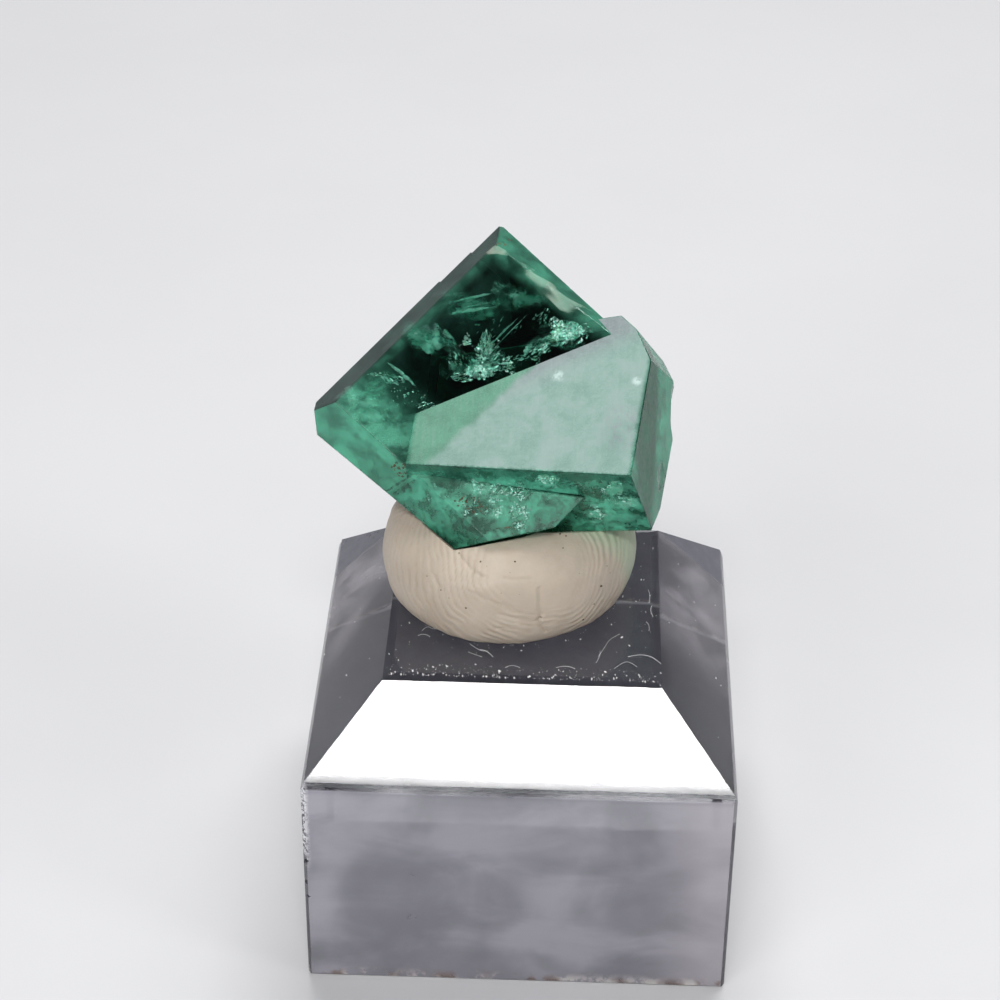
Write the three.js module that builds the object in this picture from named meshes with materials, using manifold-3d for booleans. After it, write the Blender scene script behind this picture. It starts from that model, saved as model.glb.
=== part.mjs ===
// A green fluorite octahedron with a second crystal grown through its front right side, pressed into a ball
// of mineral putty on a bevelled clear acrylic block. Millimetres, +Z up, +Y away from the front of the
// block. The origin is the middle of the block's underside.

import * as THREE from "three";
import { ConvexGeometry } from "three/addons/geometries/ConvexGeometry.js";
import { mergeVertices } from "three/addons/utils/BufferGeometryUtils.js";
import Module from "manifold-3d";

const wasm = await Module();
wasm.setup();

// The acrylic block: a 1 inch square with a 45 degree bevel round its top
const blockWidth = 25.4;
const blockSideHeight = 14.9;
const blockBevel = 4.75;
const blockHeight = blockSideHeight + blockBevel;
const blockEdgeBreak = 0.12;
const blockCornerBreak = 0.18;
const blockEdgeChips = 7;

// The putty: a ball squashed between the block and the crystal
const puttyCentre = { x: -1.1, y: 1.7 };
const puttyWidth = 15.3;
const puttyDepth = 14.7;
const puttyHeight = 6.4;
const puttyFootRadius = 6.3;
const puttyLobes = 0.2;
const seatGap = 0.3;
const pressTurn = -88;
const pressRise = 34;
const pressReach = 3;

// The putty's section above its foot, as fractions of its radius and of its height
const puttySection = [
  [0.93, 0.16],
  [1.0, 0.45],
  [0.93, 0.76],
  [0.72, 0.95],
  [0.42, 1.0],
];

// The crystal: its middle, and each flat face as the compass direction that it faces (turn, in degrees
// from +X), its rise above the horizontal in degrees, and its distance from the middle
const crystalCentre = new THREE.Vector3(-2.0, 4.15, 30.93);

const mainFaces = {
  front: face(-98, 47, 1.8),
  upperLeftStrip: face(178, 51, 6.4),
  upperRight: face(-6, 66, 6.7),
  lowerLeft: face(-124.5, 3, 6.15),
  lowerRight: face(-62, 12, 7.2),
  backUpperLeft: face(118, -12, 6),
  backUpperRight: face(48, -1, 6),
  backLowerLeft: face(-171, -63, 7),
  backLowerRight: face(-15.5, -44.5, 6.6),
  leftTip: face(177.5, -5.5, 11.05),
  rightTip: face(-16, 11, 9.1),
  toe: face(-68, -52, 8),
  seat: face(-5.5, -78, 7.15),
};

const secondFaces = {
  top: face(-111.5, 59, 1.95),
  left: face(173, 1, 4.6),
  under: face(-99.5, -21, 5.55),
  right: face(-16, 11, 9.5),
  rightUpperFlank: face(3, -1.5, 10.9),
  rightLowerFlank: face(-3.5, -11.5, 10.85),
  topCorner: face(31.5, 37.5, 8.95),
  topRight: face(8.5, 31.5, 9.55),
  shoulder: face(19, 19, 10.35),
  topEdge: face(101.5, 47.5, 4.25),
  seat: face(-5.5, -78, 6.9),
  back: face(71.5, -43.5, 8.5),
  lowRight: face(-11.5, -29, 11.4),
  lowerLeft: face(-124.5, 3, 6.75),
  backLowerLeft: face(-171, -63, 7),
};

// Growth steps on the hidden faces: the face, the direction that the step's edge runs towards (turn and
// rise), how far the edge is from the middle, and how deep the step is
const growthSteps = [
  { on: "backUpperLeft", towards: [40, 35], from: 3.4, depth: 0.3 },
  { on: "backUpperLeft", towards: [40, 35], from: 6.0, depth: 0.55 },
  { on: "backUpperRight", towards: [-30, -40], from: 3.0, depth: 0.28 },
  { on: "backUpperRight", towards: [-30, -40], from: 5.4, depth: 0.6 },
  { on: "backLowerRight", towards: [60, 30], from: 4.4, depth: 0.35 },
];

// Shell-shaped breaks in the second crystal's right side: place on the surface and radius, in millimetres,
// the direction that each one faces, and its depth
const shellBreaks = [
  { at: [7.35, -0.7, 31.0], facing: [-16, 12], radius: 2.0, depth: 0.26 },
  { at: [7.95, 1.2, 28.7], facing: [-14, 2], radius: 1.7, depth: 0.24 },
  { at: [7.5, 1.9, 33.4], facing: [-6, 24], radius: 1.5, depth: 0.2 },
  { at: [8.75, 4.6, 30.9], facing: [3, -3], radius: 2.3, depth: 0.3 },
  { at: [8.1, 6.9, 28.2], facing: [16, -16], radius: 3.2, depth: 0.55 },
  { at: [4.4, 10.8, 29.4], facing: [66, -26], radius: 3.0, depth: 0.4 },
];

// Rows of small chips along sharp edges: the two faces that share the edge, how many chips, and their size
const chipRows = [
  { edge: ["upperLeftStrip", "backUpperLeft"], count: 17, size: 0.3 },
  { edge: ["upperRight", "backUpperRight"], count: 9, size: 0.26 },
  { edge: ["lowerLeft", "backLowerLeft"], count: 7, size: 0.24 },
  { edge: ["backUpperLeft", "backUpperRight"], count: 8, size: 0.34 },
];

// Fineness of the round shapes, and the distances under which two points count as one
const puttySides = 44;
const puttySectionPoints = 16;
const shellDetail = 11;
const weldDistance = 1e-5;
const planeTolerance = 1e-6;
const edgeTolerance = 1e-4;

// A unit vector from its compass direction and its rise, in degrees.
function direction(turn, rise) {
  const t = THREE.MathUtils.degToRad(turn);
  const r = THREE.MathUtils.degToRad(rise);
  return new THREE.Vector3(Math.cos(t) * Math.cos(r), Math.sin(t) * Math.cos(r), Math.sin(r));
}

function face(turn, rise, distance) {
  return { normal: direction(turn, rise), distance };
}

// The point that three planes share, or null where two of them are parallel.
function meet(a, b, c) {
  const bc = b.normal.clone().cross(c.normal);
  const det = a.normal.dot(bc);
  if (Math.abs(det) < planeTolerance) return null;
  return bc
    .multiplyScalar(a.distance)
    .add(c.normal.clone().cross(a.normal).multiplyScalar(b.distance))
    .add(a.normal.clone().cross(b.normal).multiplyScalar(c.distance))
    .divideScalar(det);
}

// The corners of the convex body that a list of faces bounds.
function cornersOf(faces) {
  const corners = [];
  faces.forEach((a, i) =>
    faces.slice(i + 1).forEach((b, j) =>
      faces.slice(i + j + 2).forEach((c) => {
        const p = meet(a, b, c);
        if (!p) return;
        if (faces.some((f) => f.normal.dot(p) > f.distance + planeTolerance)) return;
        if (corners.some((q) => q.distanceTo(p) < planeTolerance)) return;
        corners.push(p);
      }),
    ),
  );
  return corners;
}

// A three.js geometry as a solid that can be joined and cut.
function solid(geometry) {
  const bare = geometry.clone();
  bare.deleteAttribute("normal");
  bare.deleteAttribute("uv");
  const merged = mergeVertices(bare, weldDistance);
  return new wasm.Manifold(
    new wasm.Mesh({
      numProp: 3,
      vertProperties: merged.attributes.position.array,
      triVerts: new Uint32Array(merged.index.array),
    }),
  );
}

function geometryOf(body) {
  const mesh = body.getMesh();
  const geometry = new THREE.BufferGeometry();
  geometry.setAttribute("position", new THREE.BufferAttribute(mesh.vertProperties, 3));
  geometry.setIndex(new THREE.BufferAttribute(mesh.triVerts, 1));
  const flat = geometry.toNonIndexed();
  flat.computeVertexNormals();
  return flat;
}

// The convex body inside a set of faces round a centre, with every face moved outwards by grow.
function convexSolid(faces, centre, grow = 0) {
  const moved = Object.values(faces).map((f) => ({ normal: f.normal, distance: f.distance + grow }));
  const geometry = new ConvexGeometry(cornersOf(moved));
  geometry.translate(centre.x, centre.y, centre.z);
  return solid(geometry);
}

// A sliver broken from an edge: a small four-sided splinter, turned by its number.
function splinter(at, size, number) {
  const long = 1.5;
  const narrow = 0.75;
  const roll = 2.4;
  const yaw = 1.1;
  const geometry = new THREE.TetrahedronGeometry(size);
  geometry.scale(long, narrow, narrow);
  geometry.rotateX(number * roll);
  geometry.rotateZ(number * yaw);
  geometry.translate(at.x, at.y, at.z);
  return solid(geometry);
}

// A repeatable number from low to high for the step i of a row.
function scatter(i, row, low, high) {
  const stepStride = 12.9898;
  const rowStride = 78.233;
  const gain = 43758.5453;
  const s = Math.sin(i * stepStride + row * rowStride) * gain;
  return low + (high - low) * (s - Math.floor(s));
}

// The two ends of the edge that two of the main crystal's faces share.
function edgeEnds(nameA, nameB) {
  const a = mainFaces[nameA];
  const b = mainFaces[nameB];
  const faces = Object.values(mainFaces);
  const on = (f, p) => Math.abs(f.normal.dot(p) - f.distance) < edgeTolerance;
  return cornersOf(faces)
    .filter((p) => on(a, p) && on(b, p))
    .map((p) => p.add(crystalCentre));
}

// Chips spread unevenly along one edge, from under half of the row's stated size to a little over it.
function cutChips(body, row, number) {
  const [from, to] = edgeEnds(...row.edge);
  const sizeRow = number + 5;
  let cut = body;
  for (let i = 0; i < row.count; i++) {
    const along = (i + scatter(i, number, 0.2, 0.8)) / row.count;
    const size = row.size * scatter(i, sizeRow, 0.45, 1.2);
    cut = cut.subtract(splinter(from.clone().lerp(to, along), size, i + number));
  }
  return cut;
}

// A growth step: the face is lower by depth beyond a straight line across it.
function cutStep(body, step) {
  const { normal, distance } = mainFaces[step.on];
  const towards = direction(...step.towards);
  const across = towards.addScaledVector(normal, -towards.dot(normal)).normalize();
  const along = normal.clone().cross(across);
  const reach = 40;
  const geometry = new THREE.BoxGeometry(reach, reach, reach);
  geometry.applyMatrix4(new THREE.Matrix4().makeBasis(across, along, normal));
  const middle = crystalCentre
    .clone()
    .addScaledVector(normal, distance - step.depth + reach / 2)
    .addScaledVector(across, step.from + reach / 2);
  geometry.translate(middle.x, middle.y, middle.z);
  return body.subtract(solid(geometry));
}

// A shell-shaped break: a shallow cap cut out by a sphere whose rim has the stated radius.
function cutShell(body, shell) {
  const sphereRadius = (shell.radius ** 2 + shell.depth ** 2) / (2 * shell.depth);
  const geometry = new THREE.IcosahedronGeometry(sphereRadius, shellDetail);
  const centre = new THREE.Vector3(...shell.at).addScaledVector(
    direction(...shell.facing),
    sphereRadius - shell.depth,
  );
  geometry.translate(centre.x, centre.y, centre.z);
  return body.subtract(solid(geometry));
}

function crystalSolid() {
  let main = convexSolid(mainFaces, crystalCentre);
  growthSteps.forEach((step) => (main = cutStep(main, step)));
  let second = convexSolid(secondFaces, crystalCentre);
  shellBreaks.forEach((shell) => (second = cutShell(second, shell)));
  let body = main.add(second);
  chipRows.forEach((row, i) => (body = cutChips(body, row, i + 1)));
  return largestPiece(body);
}

// The stone itself, without crumbs that a cut may leave beside it.
function largestPiece(body) {
  return body.decompose().reduce((a, b) => (a.volume() > b.volume() ? a : b));
}

// The block: six sides, the bevel round the top, a narrow break along every edge, and small chips down the
// upper part of its left front edge.
function blockSolid() {
  const sideRise = 0;
  const bevelRise = 45;

  const half = blockWidth / 2;
  const centre = new THREE.Vector3(0, 0, blockHeight / 2);
  const halfHeight = blockHeight / 2;
  const bevelDistance = (half + halfHeight - blockBevel) * Math.SQRT1_2;
  const faces = [face(0, 90, halfHeight), face(0, -90, halfHeight)];
  const topHalf = half - blockBevel;
  const bevelFootHeight = halfHeight - blockBevel;
  for (let turn = 0; turn < 360; turn += 90) {
    faces.push(face(turn, sideRise, half));
    faces.push(face(turn, bevelRise, bevelDistance));
    faces.push(edgeBreak(turn, (bevelRise + 90) / 2, topHalf, halfHeight));
    faces.push(edgeBreak(turn, (bevelRise + sideRise) / 2, half, bevelFootHeight));
    faces.push(edgeBreak(turn, -45, half, halfHeight));
    faces.push(face(turn + 45, sideRise, half * Math.SQRT2 - blockCornerBreak));
  }
  let body = convexSolid(faces, centre);
  const chippedShare = 0.62;
  const placeRow = 9;
  const sizeRow = 11;
  for (let i = 0; i < blockEdgeChips; i++) {
    const down = ((i + scatter(i, placeRow, 0.3, 0.8)) / blockEdgeChips) * chippedShare;
    const at = new THREE.Vector3(-half, -half, blockSideHeight * (1 - down));
    body = body.subtract(splinter(at, scatter(i, sizeRow, 0.36, 0.66), i + sizeRow));
  }
  return largestPiece(body);
}

// The narrow flat that breaks an edge, seen in the upright section through the middle of a side: the edge
// lies at out from the middle and at up (down, for a negative rise).
function edgeBreak(turn, rise, out, up) {
  const r = THREE.MathUtils.degToRad(rise);
  return face(turn, rise, out * Math.cos(r) + up * Math.abs(Math.sin(r)) - blockEdgeBreak);
}

// The putty's outline from the middle of its foot round to the middle of its top, as a smooth curve.
function puttyProfile() {
  const rim = puttySection.map(
    ([out, up]) => new THREE.Vector3((out * puttyWidth) / 2, up * puttyHeight, 0),
  );
  const curve = new THREE.CatmullRomCurve3([new THREE.Vector3(puttyFootRadius, 0, 0), ...rim]);
  const points = curve.getPoints(puttySectionPoints).map((p) => new THREE.Vector2(p.x, p.y));
  return [new THREE.Vector2(0, 0), ...points, new THREE.Vector2(0, puttyHeight)];
}

// The hollow that one of the crystals needs, open towards the side from which it was pressed in.
function seatOf(faces) {
  const seat = convexSolid(faces, crystalCentre, seatGap);
  const back = direction(pressTurn, pressRise).multiplyScalar(pressReach);
  return wasm.Manifold.hull([seat, seat.translate(back.toArray())]);
}

// The ball with two and three soft lobes round it, less the hollow that the crystal is pressed into.
function puttySolid() {
  const geometry = new THREE.LatheGeometry(puttyProfile(), puttySides);
  geometry.rotateX(Math.PI / 2);
  geometry.scale(1, puttyDepth / puttyWidth, 1);
  const place = geometry.attributes.position;
  for (let i = 0; i < place.count; i++) {
    const angle = Math.atan2(place.getY(i), place.getX(i));
    const lobe = Math.sin(2 * angle + 0.6) + 0.6 * Math.sin(3 * angle);
    const swell = 1 + (lobe * puttyLobes) / (puttyWidth / 2);
    place.setXY(i, place.getX(i) * swell, place.getY(i) * swell);
  }
  geometry.translate(puttyCentre.x, puttyCentre.y, blockHeight);
  return largestPiece(solid(geometry).subtract(seatOf(mainFaces)).subtract(seatOf(secondFaces)));
}

function part(name, body, colour, roughness) {
  const material = new THREE.MeshStandardMaterial({ color: colour, roughness, metalness: 0 });
  const mesh = new THREE.Mesh(geometryOf(body), material);
  mesh.name = name;
  return mesh;
}

const specimen = new THREE.Group();
specimen.add(part("acrylic_base", blockSolid(), 0xc9ced6, 0.06));
specimen.add(part("mounting_putty", puttySolid(), 0xcbbca6, 0.7));
specimen.add(part("fluorite_crystal", crystalSolid(), 0x2f8a6a, 0.1));

export default specimen;
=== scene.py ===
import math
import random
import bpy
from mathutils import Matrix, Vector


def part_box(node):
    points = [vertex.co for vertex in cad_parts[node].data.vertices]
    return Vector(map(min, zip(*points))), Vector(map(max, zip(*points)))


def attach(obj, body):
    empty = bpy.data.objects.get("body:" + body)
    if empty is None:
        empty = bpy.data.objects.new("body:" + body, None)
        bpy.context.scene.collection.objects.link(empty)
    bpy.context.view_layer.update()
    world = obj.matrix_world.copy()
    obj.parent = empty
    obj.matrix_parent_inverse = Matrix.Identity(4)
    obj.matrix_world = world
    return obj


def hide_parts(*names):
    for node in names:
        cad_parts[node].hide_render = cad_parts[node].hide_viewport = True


bl_info = {
    "name": "Fluorite octahedron on a display block",
    "version": (1, 0, 0),
    "blender": (4, 5, 0),
    "location": "View3D > Sidebar > Specimen",
    "description": "Builds a green fluorite octahedron set in putty on a bevelled clear acrylic block",
    "category": "Object",
}

import bmesh
import bpy
from bpy.props import FloatProperty, FloatVectorProperty, IntProperty, PointerProperty
from mathutils import Euler, Matrix, Vector, noise
from mathutils.bvhtree import BVHTree

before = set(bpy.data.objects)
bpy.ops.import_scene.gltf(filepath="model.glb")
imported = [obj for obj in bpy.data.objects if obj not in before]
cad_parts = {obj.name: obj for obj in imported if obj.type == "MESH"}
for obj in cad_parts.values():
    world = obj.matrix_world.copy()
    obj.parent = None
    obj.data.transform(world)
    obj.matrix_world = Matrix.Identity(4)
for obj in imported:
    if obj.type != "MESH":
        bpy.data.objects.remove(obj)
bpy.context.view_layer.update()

MM = 0.001
IMAGE_SIDE = 1000

# Shapes are worked in millimetres and scaled to metres when they are finished.
BLOCK_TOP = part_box("acrylic_base")[1][2] / MM
BLOCK_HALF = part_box("acrylic_base")[1][0] / MM
STONE_CENTRE = Vector((-2.0, 4.15, 30.93))
STONE_IOR = 1.434
BEVEL_FOOT = 14.9
BEVEL_MIDDLE = 2.4
PUTTY_PLACE = Vector((-1.1, 1.7, BLOCK_TOP))
# How many of the photograph's pixels one millimetre of the stone takes up
PIXELS_PER_MM = 16.8
# Two faces count as parallel where their directions agree this well
PARALLEL = 0.9999

# The stone's flat faces: compass turn and rise of the way each one faces, in degrees, and its distance
# from the stone's centre
MAIN_FACES = {
    "front": (-98, 47, 1.8),
    "upper_left_strip": (178, 51, 6.4),
    "upper_right": (-6, 66, 6.7),
    "lower_left": (-124.5, 3, 6.15),
    "lower_right": (-62, 12, 7.2),
    "back_upper_left": (118, -12, 6),
    "back_upper_right": (48, -1, 6),
    "back_lower_left": (-171, -63, 7),
    "back_lower_right": (-15.5, -44.5, 6.6),
    "left_tip": (177.5, -5.5, 11.05),
    "right_tip": (-16, 11, 9.1),
    "toe": (-68, -52, 8),
    "seat": (-5.5, -78, 7.15),
}
SECOND_FACES = {
    "top": (-111.5, 59, 1.95),
    "left": (173, 1, 4.6),
    "under": (-99.5, -21, 5.55),
    "right": (-16, 11, 9.5),
    "right_upper_flank": (3, -1.5, 10.9),
    "right_lower_flank": (-3.5, -11.5, 10.85),
    "top_corner": (31.5, 37.5, 8.95),
    "top_right": (8.5, 31.5, 9.55),
    "shoulder": (19, 19, 10.35),
    "top_edge": (101.5, 47.5, 4.25),
    "seat": (-5.5, -78, 6.9),
    "back": (71.5, -43.5, 8.5),
    "low_right": (-11.5, -29, 11.4),
    "lower_left": (-124.5, 3, 6.75),
    "back_lower_left": (-171, -63, 7),
}
# Growth steps: face, direction that the step runs towards, how far out it starts, and its depth
GROWTH_STEPS = [
    ("back_upper_left", (40, 35), 3.4, 0.3),
    ("back_upper_left", (40, 35), 6.0, 0.55),
    ("back_upper_right", (-30, -40), 3.0, 0.28),
    ("back_upper_right", (-30, -40), 5.4, 0.6),
    ("back_lower_right", (60, 30), 4.4, 0.35),
]
# Shell-shaped breaks: place, the way it faces, rim radius and depth
SHELL_BREAKS = [
    ((7.35, -0.7, 31.0), (-16, 12), 2.0, 0.26),
    ((7.95, 1.2, 28.7), (-14, 2), 1.7, 0.24),
    ((7.5, 1.9, 33.4), (-6, 24), 1.5, 0.2),
    ((8.75, 4.6, 30.9), (3, -3), 2.3, 0.3),
    ((8.1, 6.9, 28.2), (16, -16), 3.2, 0.55),
    ((4.4, 10.8, 29.4), (66, -26), 3.0, 0.4),
]
# Rows of chips along an edge: its two faces, how many, and their size
CHIP_ROWS = [
    (("upper_left_strip", "back_upper_left"), 44, 0.08),
    (("upper_left_strip", "front"), 16, 0.05),
    (("upper_right", "back_upper_right"), 26, 0.08),
    (("upper_right", "front"), 12, 0.04),
    (("lower_left", "back_lower_left"), 22, 0.09),
    (("lower_left", "front"), 16, 0.06),
    (("back_upper_left", "back_upper_right"), 16, 0.14),
]
# How hazy each face is, from 0 for polished to 1 for dull, and what any other small face gets
FACE_HAZE = {
    "front": 0.0, "upper_left_strip": 0.5, "upper_right": 0.5, "lower_left": 0.85, "lower_right": 0.7,
    "left_tip": 0.6, "right_tip": 0.5, "toe": 0.9, "top": 0.6, "left": 0.7, "under": 1.0, "right": 0.85,
    "right_upper_flank": 0.7, "right_lower_flank": 0.7, "top_corner": 0.6, "top_right": 0.6,
    "shoulder": 0.65, "low_right": 0.8,
}
OTHER_HAZE = 0.5
# The hidden faces that get a dull, nearly black cover: painted shade that keeps the stone dark inside
PAINTED_SHADE_FACES = {
    "back_upper_left", "back_upper_right", "back_lower_left", "back_lower_right", "back", "top_edge",
}
# Patches close under a face, where the haze thins and mint glints are painted into the surface colour: its
# crystal, its name, image point, radius in millimetres
GLINT_PATCHES = [
    (MAIN_FACES, "front", 481, 489, 0.75), (MAIN_FACES, "front", 496, 497, 0.60),
    (SECOND_FACES, "under", 547, 481, 0.85), (MAIN_FACES, "front", 517, 489, 0.70),
    (MAIN_FACES, "front", 466, 505, 0.60), (SECOND_FACES, "under", 610, 492, 0.75),
    (SECOND_FACES, "under", 627, 503, 0.75), (SECOND_FACES, "under", 600, 513, 0.75),
    (MAIN_FACES, "front", 522, 515, 0.65), (MAIN_FACES, "front", 497, 514, 0.45),
    (MAIN_FACES, "front", 481, 372, 0.80), (MAIN_FACES, "front", 486, 350, 0.45),
    (MAIN_FACES, "front", 566, 331, 0.85), (MAIN_FACES, "front", 582, 332, 0.60),
    (MAIN_FACES, "front", 504, 366, 0.50), (MAIN_FACES, "front", 540, 350, 0.35),
    (MAIN_FACES, "front", 467, 341, 0.22), (MAIN_FACES, "front", 352, 398, 0.18),
    (MAIN_FACES, "front", 424, 405, 0.35),
]
# The way and how far the stone came in the last stretch while it was pressed into the putty
PRESS = (-88, 34)
PRESS_REACH = 3


class StoneSettings(bpy.types.PropertyGroup):
    """The fluorite crystal."""

    edge_round: FloatProperty(
        name="Edge rounding", description="Width of the worn edge between two faces", default=0.05 * MM,
        min=0, unit="LENGTH", precision=5,
    )
    depth_colour: FloatVectorProperty(
        name="Colour of depth", description="Colour that light keeps on its way through the stone",
        subtype="COLOR", default=(0.08, 0.60, 0.48), min=0, max=1,
    )
    depth_strength: FloatProperty(
        name="Depth strength", description="How fast the stone takes light, per metre", default=590.0, min=0,
    )
    frost_colour: FloatVectorProperty(
        name="Frost colour", description="Colour of the frosted face", subtype="COLOR",
        default=(0.29, 0.46, 0.40), min=0, max=1,
    )
    haze_colour: FloatVectorProperty(
        name="Haze colour", description="Colour of the milky haze under the dull faces", subtype="COLOR",
        default=(0.10, 0.48, 0.31), min=0, max=1,
    )
    flaw_colour: FloatVectorProperty(
        name="Fracture colour", description="Colour of the bright fractures inside", subtype="COLOR",
        default=(0.42, 1.0, 0.80), min=0, max=1,
    )


class PuttySettings(bpy.types.PropertyGroup):
    """The ball of mounting putty."""

    width: FloatProperty(
        name="Width", description="Width across the bulge", default=15.3 * MM, unit="LENGTH", precision=4,
    )
    depth: FloatProperty(
        name="Depth", description="Depth from front to back", default=14.7 * MM, unit="LENGTH", precision=4,
    )
    height: FloatProperty(
        name="Height", description="Height before the stone is pressed in", default=6.4 * MM,
        unit="LENGTH", precision=4,
    )
    foot_radius: FloatProperty(
        name="Foot radius", description="Radius where it sticks to the block", default=6.3 * MM,
        unit="LENGTH", precision=4,
    )
    ridge_spacing: FloatProperty(
        name="Ridge spacing", description="Distance between two finger ridges", default=0.42 * MM,
        unit="LENGTH", precision=5,
    )
    colour: FloatVectorProperty(
        name="Colour", description="Colour of the putty", subtype="COLOR", default=(0.455, 0.39, 0.315),
        min=0, max=1,
    )


class BlockSettings(bpy.types.PropertyGroup):
    """The acrylic block."""

    tint: FloatVectorProperty(
        name="Tint", description="Colour that light keeps on its way through the block", subtype="COLOR",
        default=(0.80, 0.81, 0.88), min=0, max=1,
    )
    tint_strength: FloatProperty(
        name="Tint strength", description="How fast the block takes light, per metre", default=14.0, min=0,
    )
    dust_count: IntProperty(
        name="Dust", description="How many grains of dust lie on the block", default=560, min=0,
    )


class StageSettings(bpy.types.PropertyGroup):
    """The floor, the lights and the camera."""

    bearing: FloatProperty(
        name="Bearing", description="How far the camera is to the right of the front", subtype="ANGLE",
        default=math.radians(1.8775),
    )
    rise: FloatProperty(
        name="Rise", description="How far the camera looks down", subtype="ANGLE",
        default=math.radians(33.528),
    )
    roll: FloatProperty(
        name="Roll", description="How far the camera leans", subtype="ANGLE", default=math.radians(0.502),
    )
    distance: FloatProperty(
        name="Distance", description="From the camera to what it looks at", default=150.28 * MM,
        unit="LENGTH",
    )
    target: FloatVectorProperty(
        name="Target", description="The point that the camera looks at", subtype="TRANSLATION",
        default=(-1.636 * MM, 0, 26.855 * MM),
    )
    lens: FloatProperty(
        name="Lens", description="Focal length on a 36 mm sensor, in millimetres", default=90.99,
    )
    floor_colour: FloatVectorProperty(
        name="Floor colour", description="Colour of the pale floor", subtype="COLOR",
        default=(0.60, 0.60, 0.61), min=0, max=1,
    )
    room_light: FloatProperty(
        name="Room light", description="Brightness of the light from all round", default=0.27, min=0,
    )


def facing(turn, rise):
    """The unit vector of a compass turn and a rise, in degrees."""
    t, r = math.radians(turn), math.radians(rise)
    return Vector((math.cos(t) * math.cos(r), math.sin(t) * math.cos(r), math.sin(r)))


def scaled_to_metres(bm):
    bmesh.ops.scale(bm, vec=(MM, MM, MM), verts=bm.verts)


def new_object(name, bm):
    mesh = bpy.data.meshes.new(name)
    bm.to_mesh(mesh)
    bm.free()
    piece = bpy.data.objects.new(name, mesh)
    bpy.context.scene.collection.objects.link(piece)
    return piece


def finished(name, bm, *materials):
    """The object of a finished shape, in metres."""
    scaled_to_metres(bm)
    piece = new_object(name, bm)
    for m in materials:
        piece.data.materials.append(m)
    return piece


def combined(piece, other, operation):
    """The piece joined with, or cut by, another object, which is used up."""
    cut = piece.modifiers.new("combine", "BOOLEAN")
    cut.object = other
    cut.operation = operation
    cut.solver = "EXACT"
    graph = bpy.context.evaluated_depsgraph_get()
    mesh = bpy.data.meshes.new_from_object(piece.evaluated_get(graph))
    piece.modifiers.clear()
    piece.data = mesh
    bpy.data.objects.remove(other)
    if not mesh.polygons:
        raise RuntimeError(f"{piece.name}: nothing was left after {operation}")
    return piece


def convex(faces, grow=0.0, rounding=0.0):
    """A convex body in millimetres, cut from a cube by one plane after another."""
    bm = bmesh.new()
    bmesh.ops.create_cube(bm, size=70, matrix=Matrix.Translation(STONE_CENTRE))
    for turn, rise, distance in faces.values():
        normal = facing(turn, rise)
        bmesh.ops.bisect_plane(
            bm, geom=bm.verts[:] + bm.edges[:] + bm.faces[:], dist=1e-5,
            plane_co=STONE_CENTRE + normal * (distance + grow), plane_no=normal, clear_outer=True,
        )
        rim = [e for e in bm.edges if e.is_boundary]
        if rim:
            bmesh.ops.holes_fill(bm, edges=rim, sides=0)
    if rounding:
        bmesh.ops.remove_doubles(bm, verts=bm.verts, dist=3 * rounding)
        bmesh.ops.bevel(
            bm, geom=bm.edges[:], offset=rounding, offset_type="OFFSET", affect="EDGES", segments=2,
            profile=0.5, material=-1, clamp_overlap=False,
        )
    bmesh.ops.recalc_face_normals(bm, faces=bm.faces)
    return bm


def pressed(faces, grow):
    """A crystal together with the room that it needed on its way into the putty."""
    body = convex(faces, grow=grow)
    way = facing(*PRESS) * PRESS_REACH
    bm = bmesh.new()
    for v in body.verts:
        bm.verts.new(v.co)
        bm.verts.new(v.co + way)
    body.free()
    bmesh.ops.convex_hull(bm, input=bm.verts)
    bmesh.ops.delete(bm, geom=[v for v in bm.verts if not v.link_faces], context="VERTS")
    bmesh.ops.recalc_face_normals(bm, faces=bm.faces)
    return bm


def edge_line(name_a, name_b):
    """The two ends of the edge that two of the main crystal's faces share, in millimetres."""
    bm = convex(MAIN_FACES)
    planes = [(facing(*MAIN_FACES[n][:2]), MAIN_FACES[n][2]) for n in (name_a, name_b)]
    ends = [
        v.co.copy() for v in bm.verts
        if all(abs((v.co - STONE_CENTRE).dot(n) - d) < 0.01 for n, d in planes)
    ]
    bm.free()
    if len(ends) < 2:
        raise RuntimeError(f"{name_a} and {name_b} share no edge")
    first = ends[0]
    return first, max(ends, key=lambda p: (p - first).length)


def camera_axes(s):
    """The camera's right, up and back directions, and its place, all in metres."""
    back = Vector((
        math.sin(s.bearing) * math.cos(s.rise), -math.cos(s.bearing) * math.cos(s.rise), math.sin(s.rise),
    ))
    right = Vector((math.cos(s.bearing), math.sin(s.bearing), 0))
    up = back.cross(right)
    c, w = math.cos(s.roll), math.sin(s.roll)
    right, up = c * right + w * up, c * up - w * right
    return right, up, back, Vector(s.target) + back * s.distance


def sight(x, y):
    """The camera's place in millimetres, and the way it looks to the image point x, y."""
    s = bpy.context.scene.specimen_stage
    right, up, back, place = camera_axes(s)
    pixels = s.lens / 36 * IMAGE_SIDE
    middle = IMAGE_SIDE / 2
    ray = (x - middle) / pixels * right - (y - middle) / pixels * up - back
    return place / MM, ray.normalized()


def inside(faces, name, x, y, depth):
    """The point that shows at the image point x, y that far behind a face, and the way there."""
    turn, rise, distance = faces[name]
    normal = facing(turn, rise)
    start, ray = sight(x, y)
    onto = start + ray * ((distance - (start - STONE_CENTRE).dot(normal)) / ray.dot(normal))
    ratio = 1 / STONE_IOR
    cosine = -ray.dot(normal)
    bent = ratio * ray + (ratio * cosine - math.sqrt(1 - ratio**2 * (1 - cosine**2))) * normal
    return onto + bent.normalized() * depth, bent.normalized()


def on_top(x, y):
    """The point of the block's top that shows at the image point x, y, in millimetres."""
    start, ray = sight(x, y)
    return start + ray * ((BLOCK_TOP - start.z) / ray.z)


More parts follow.
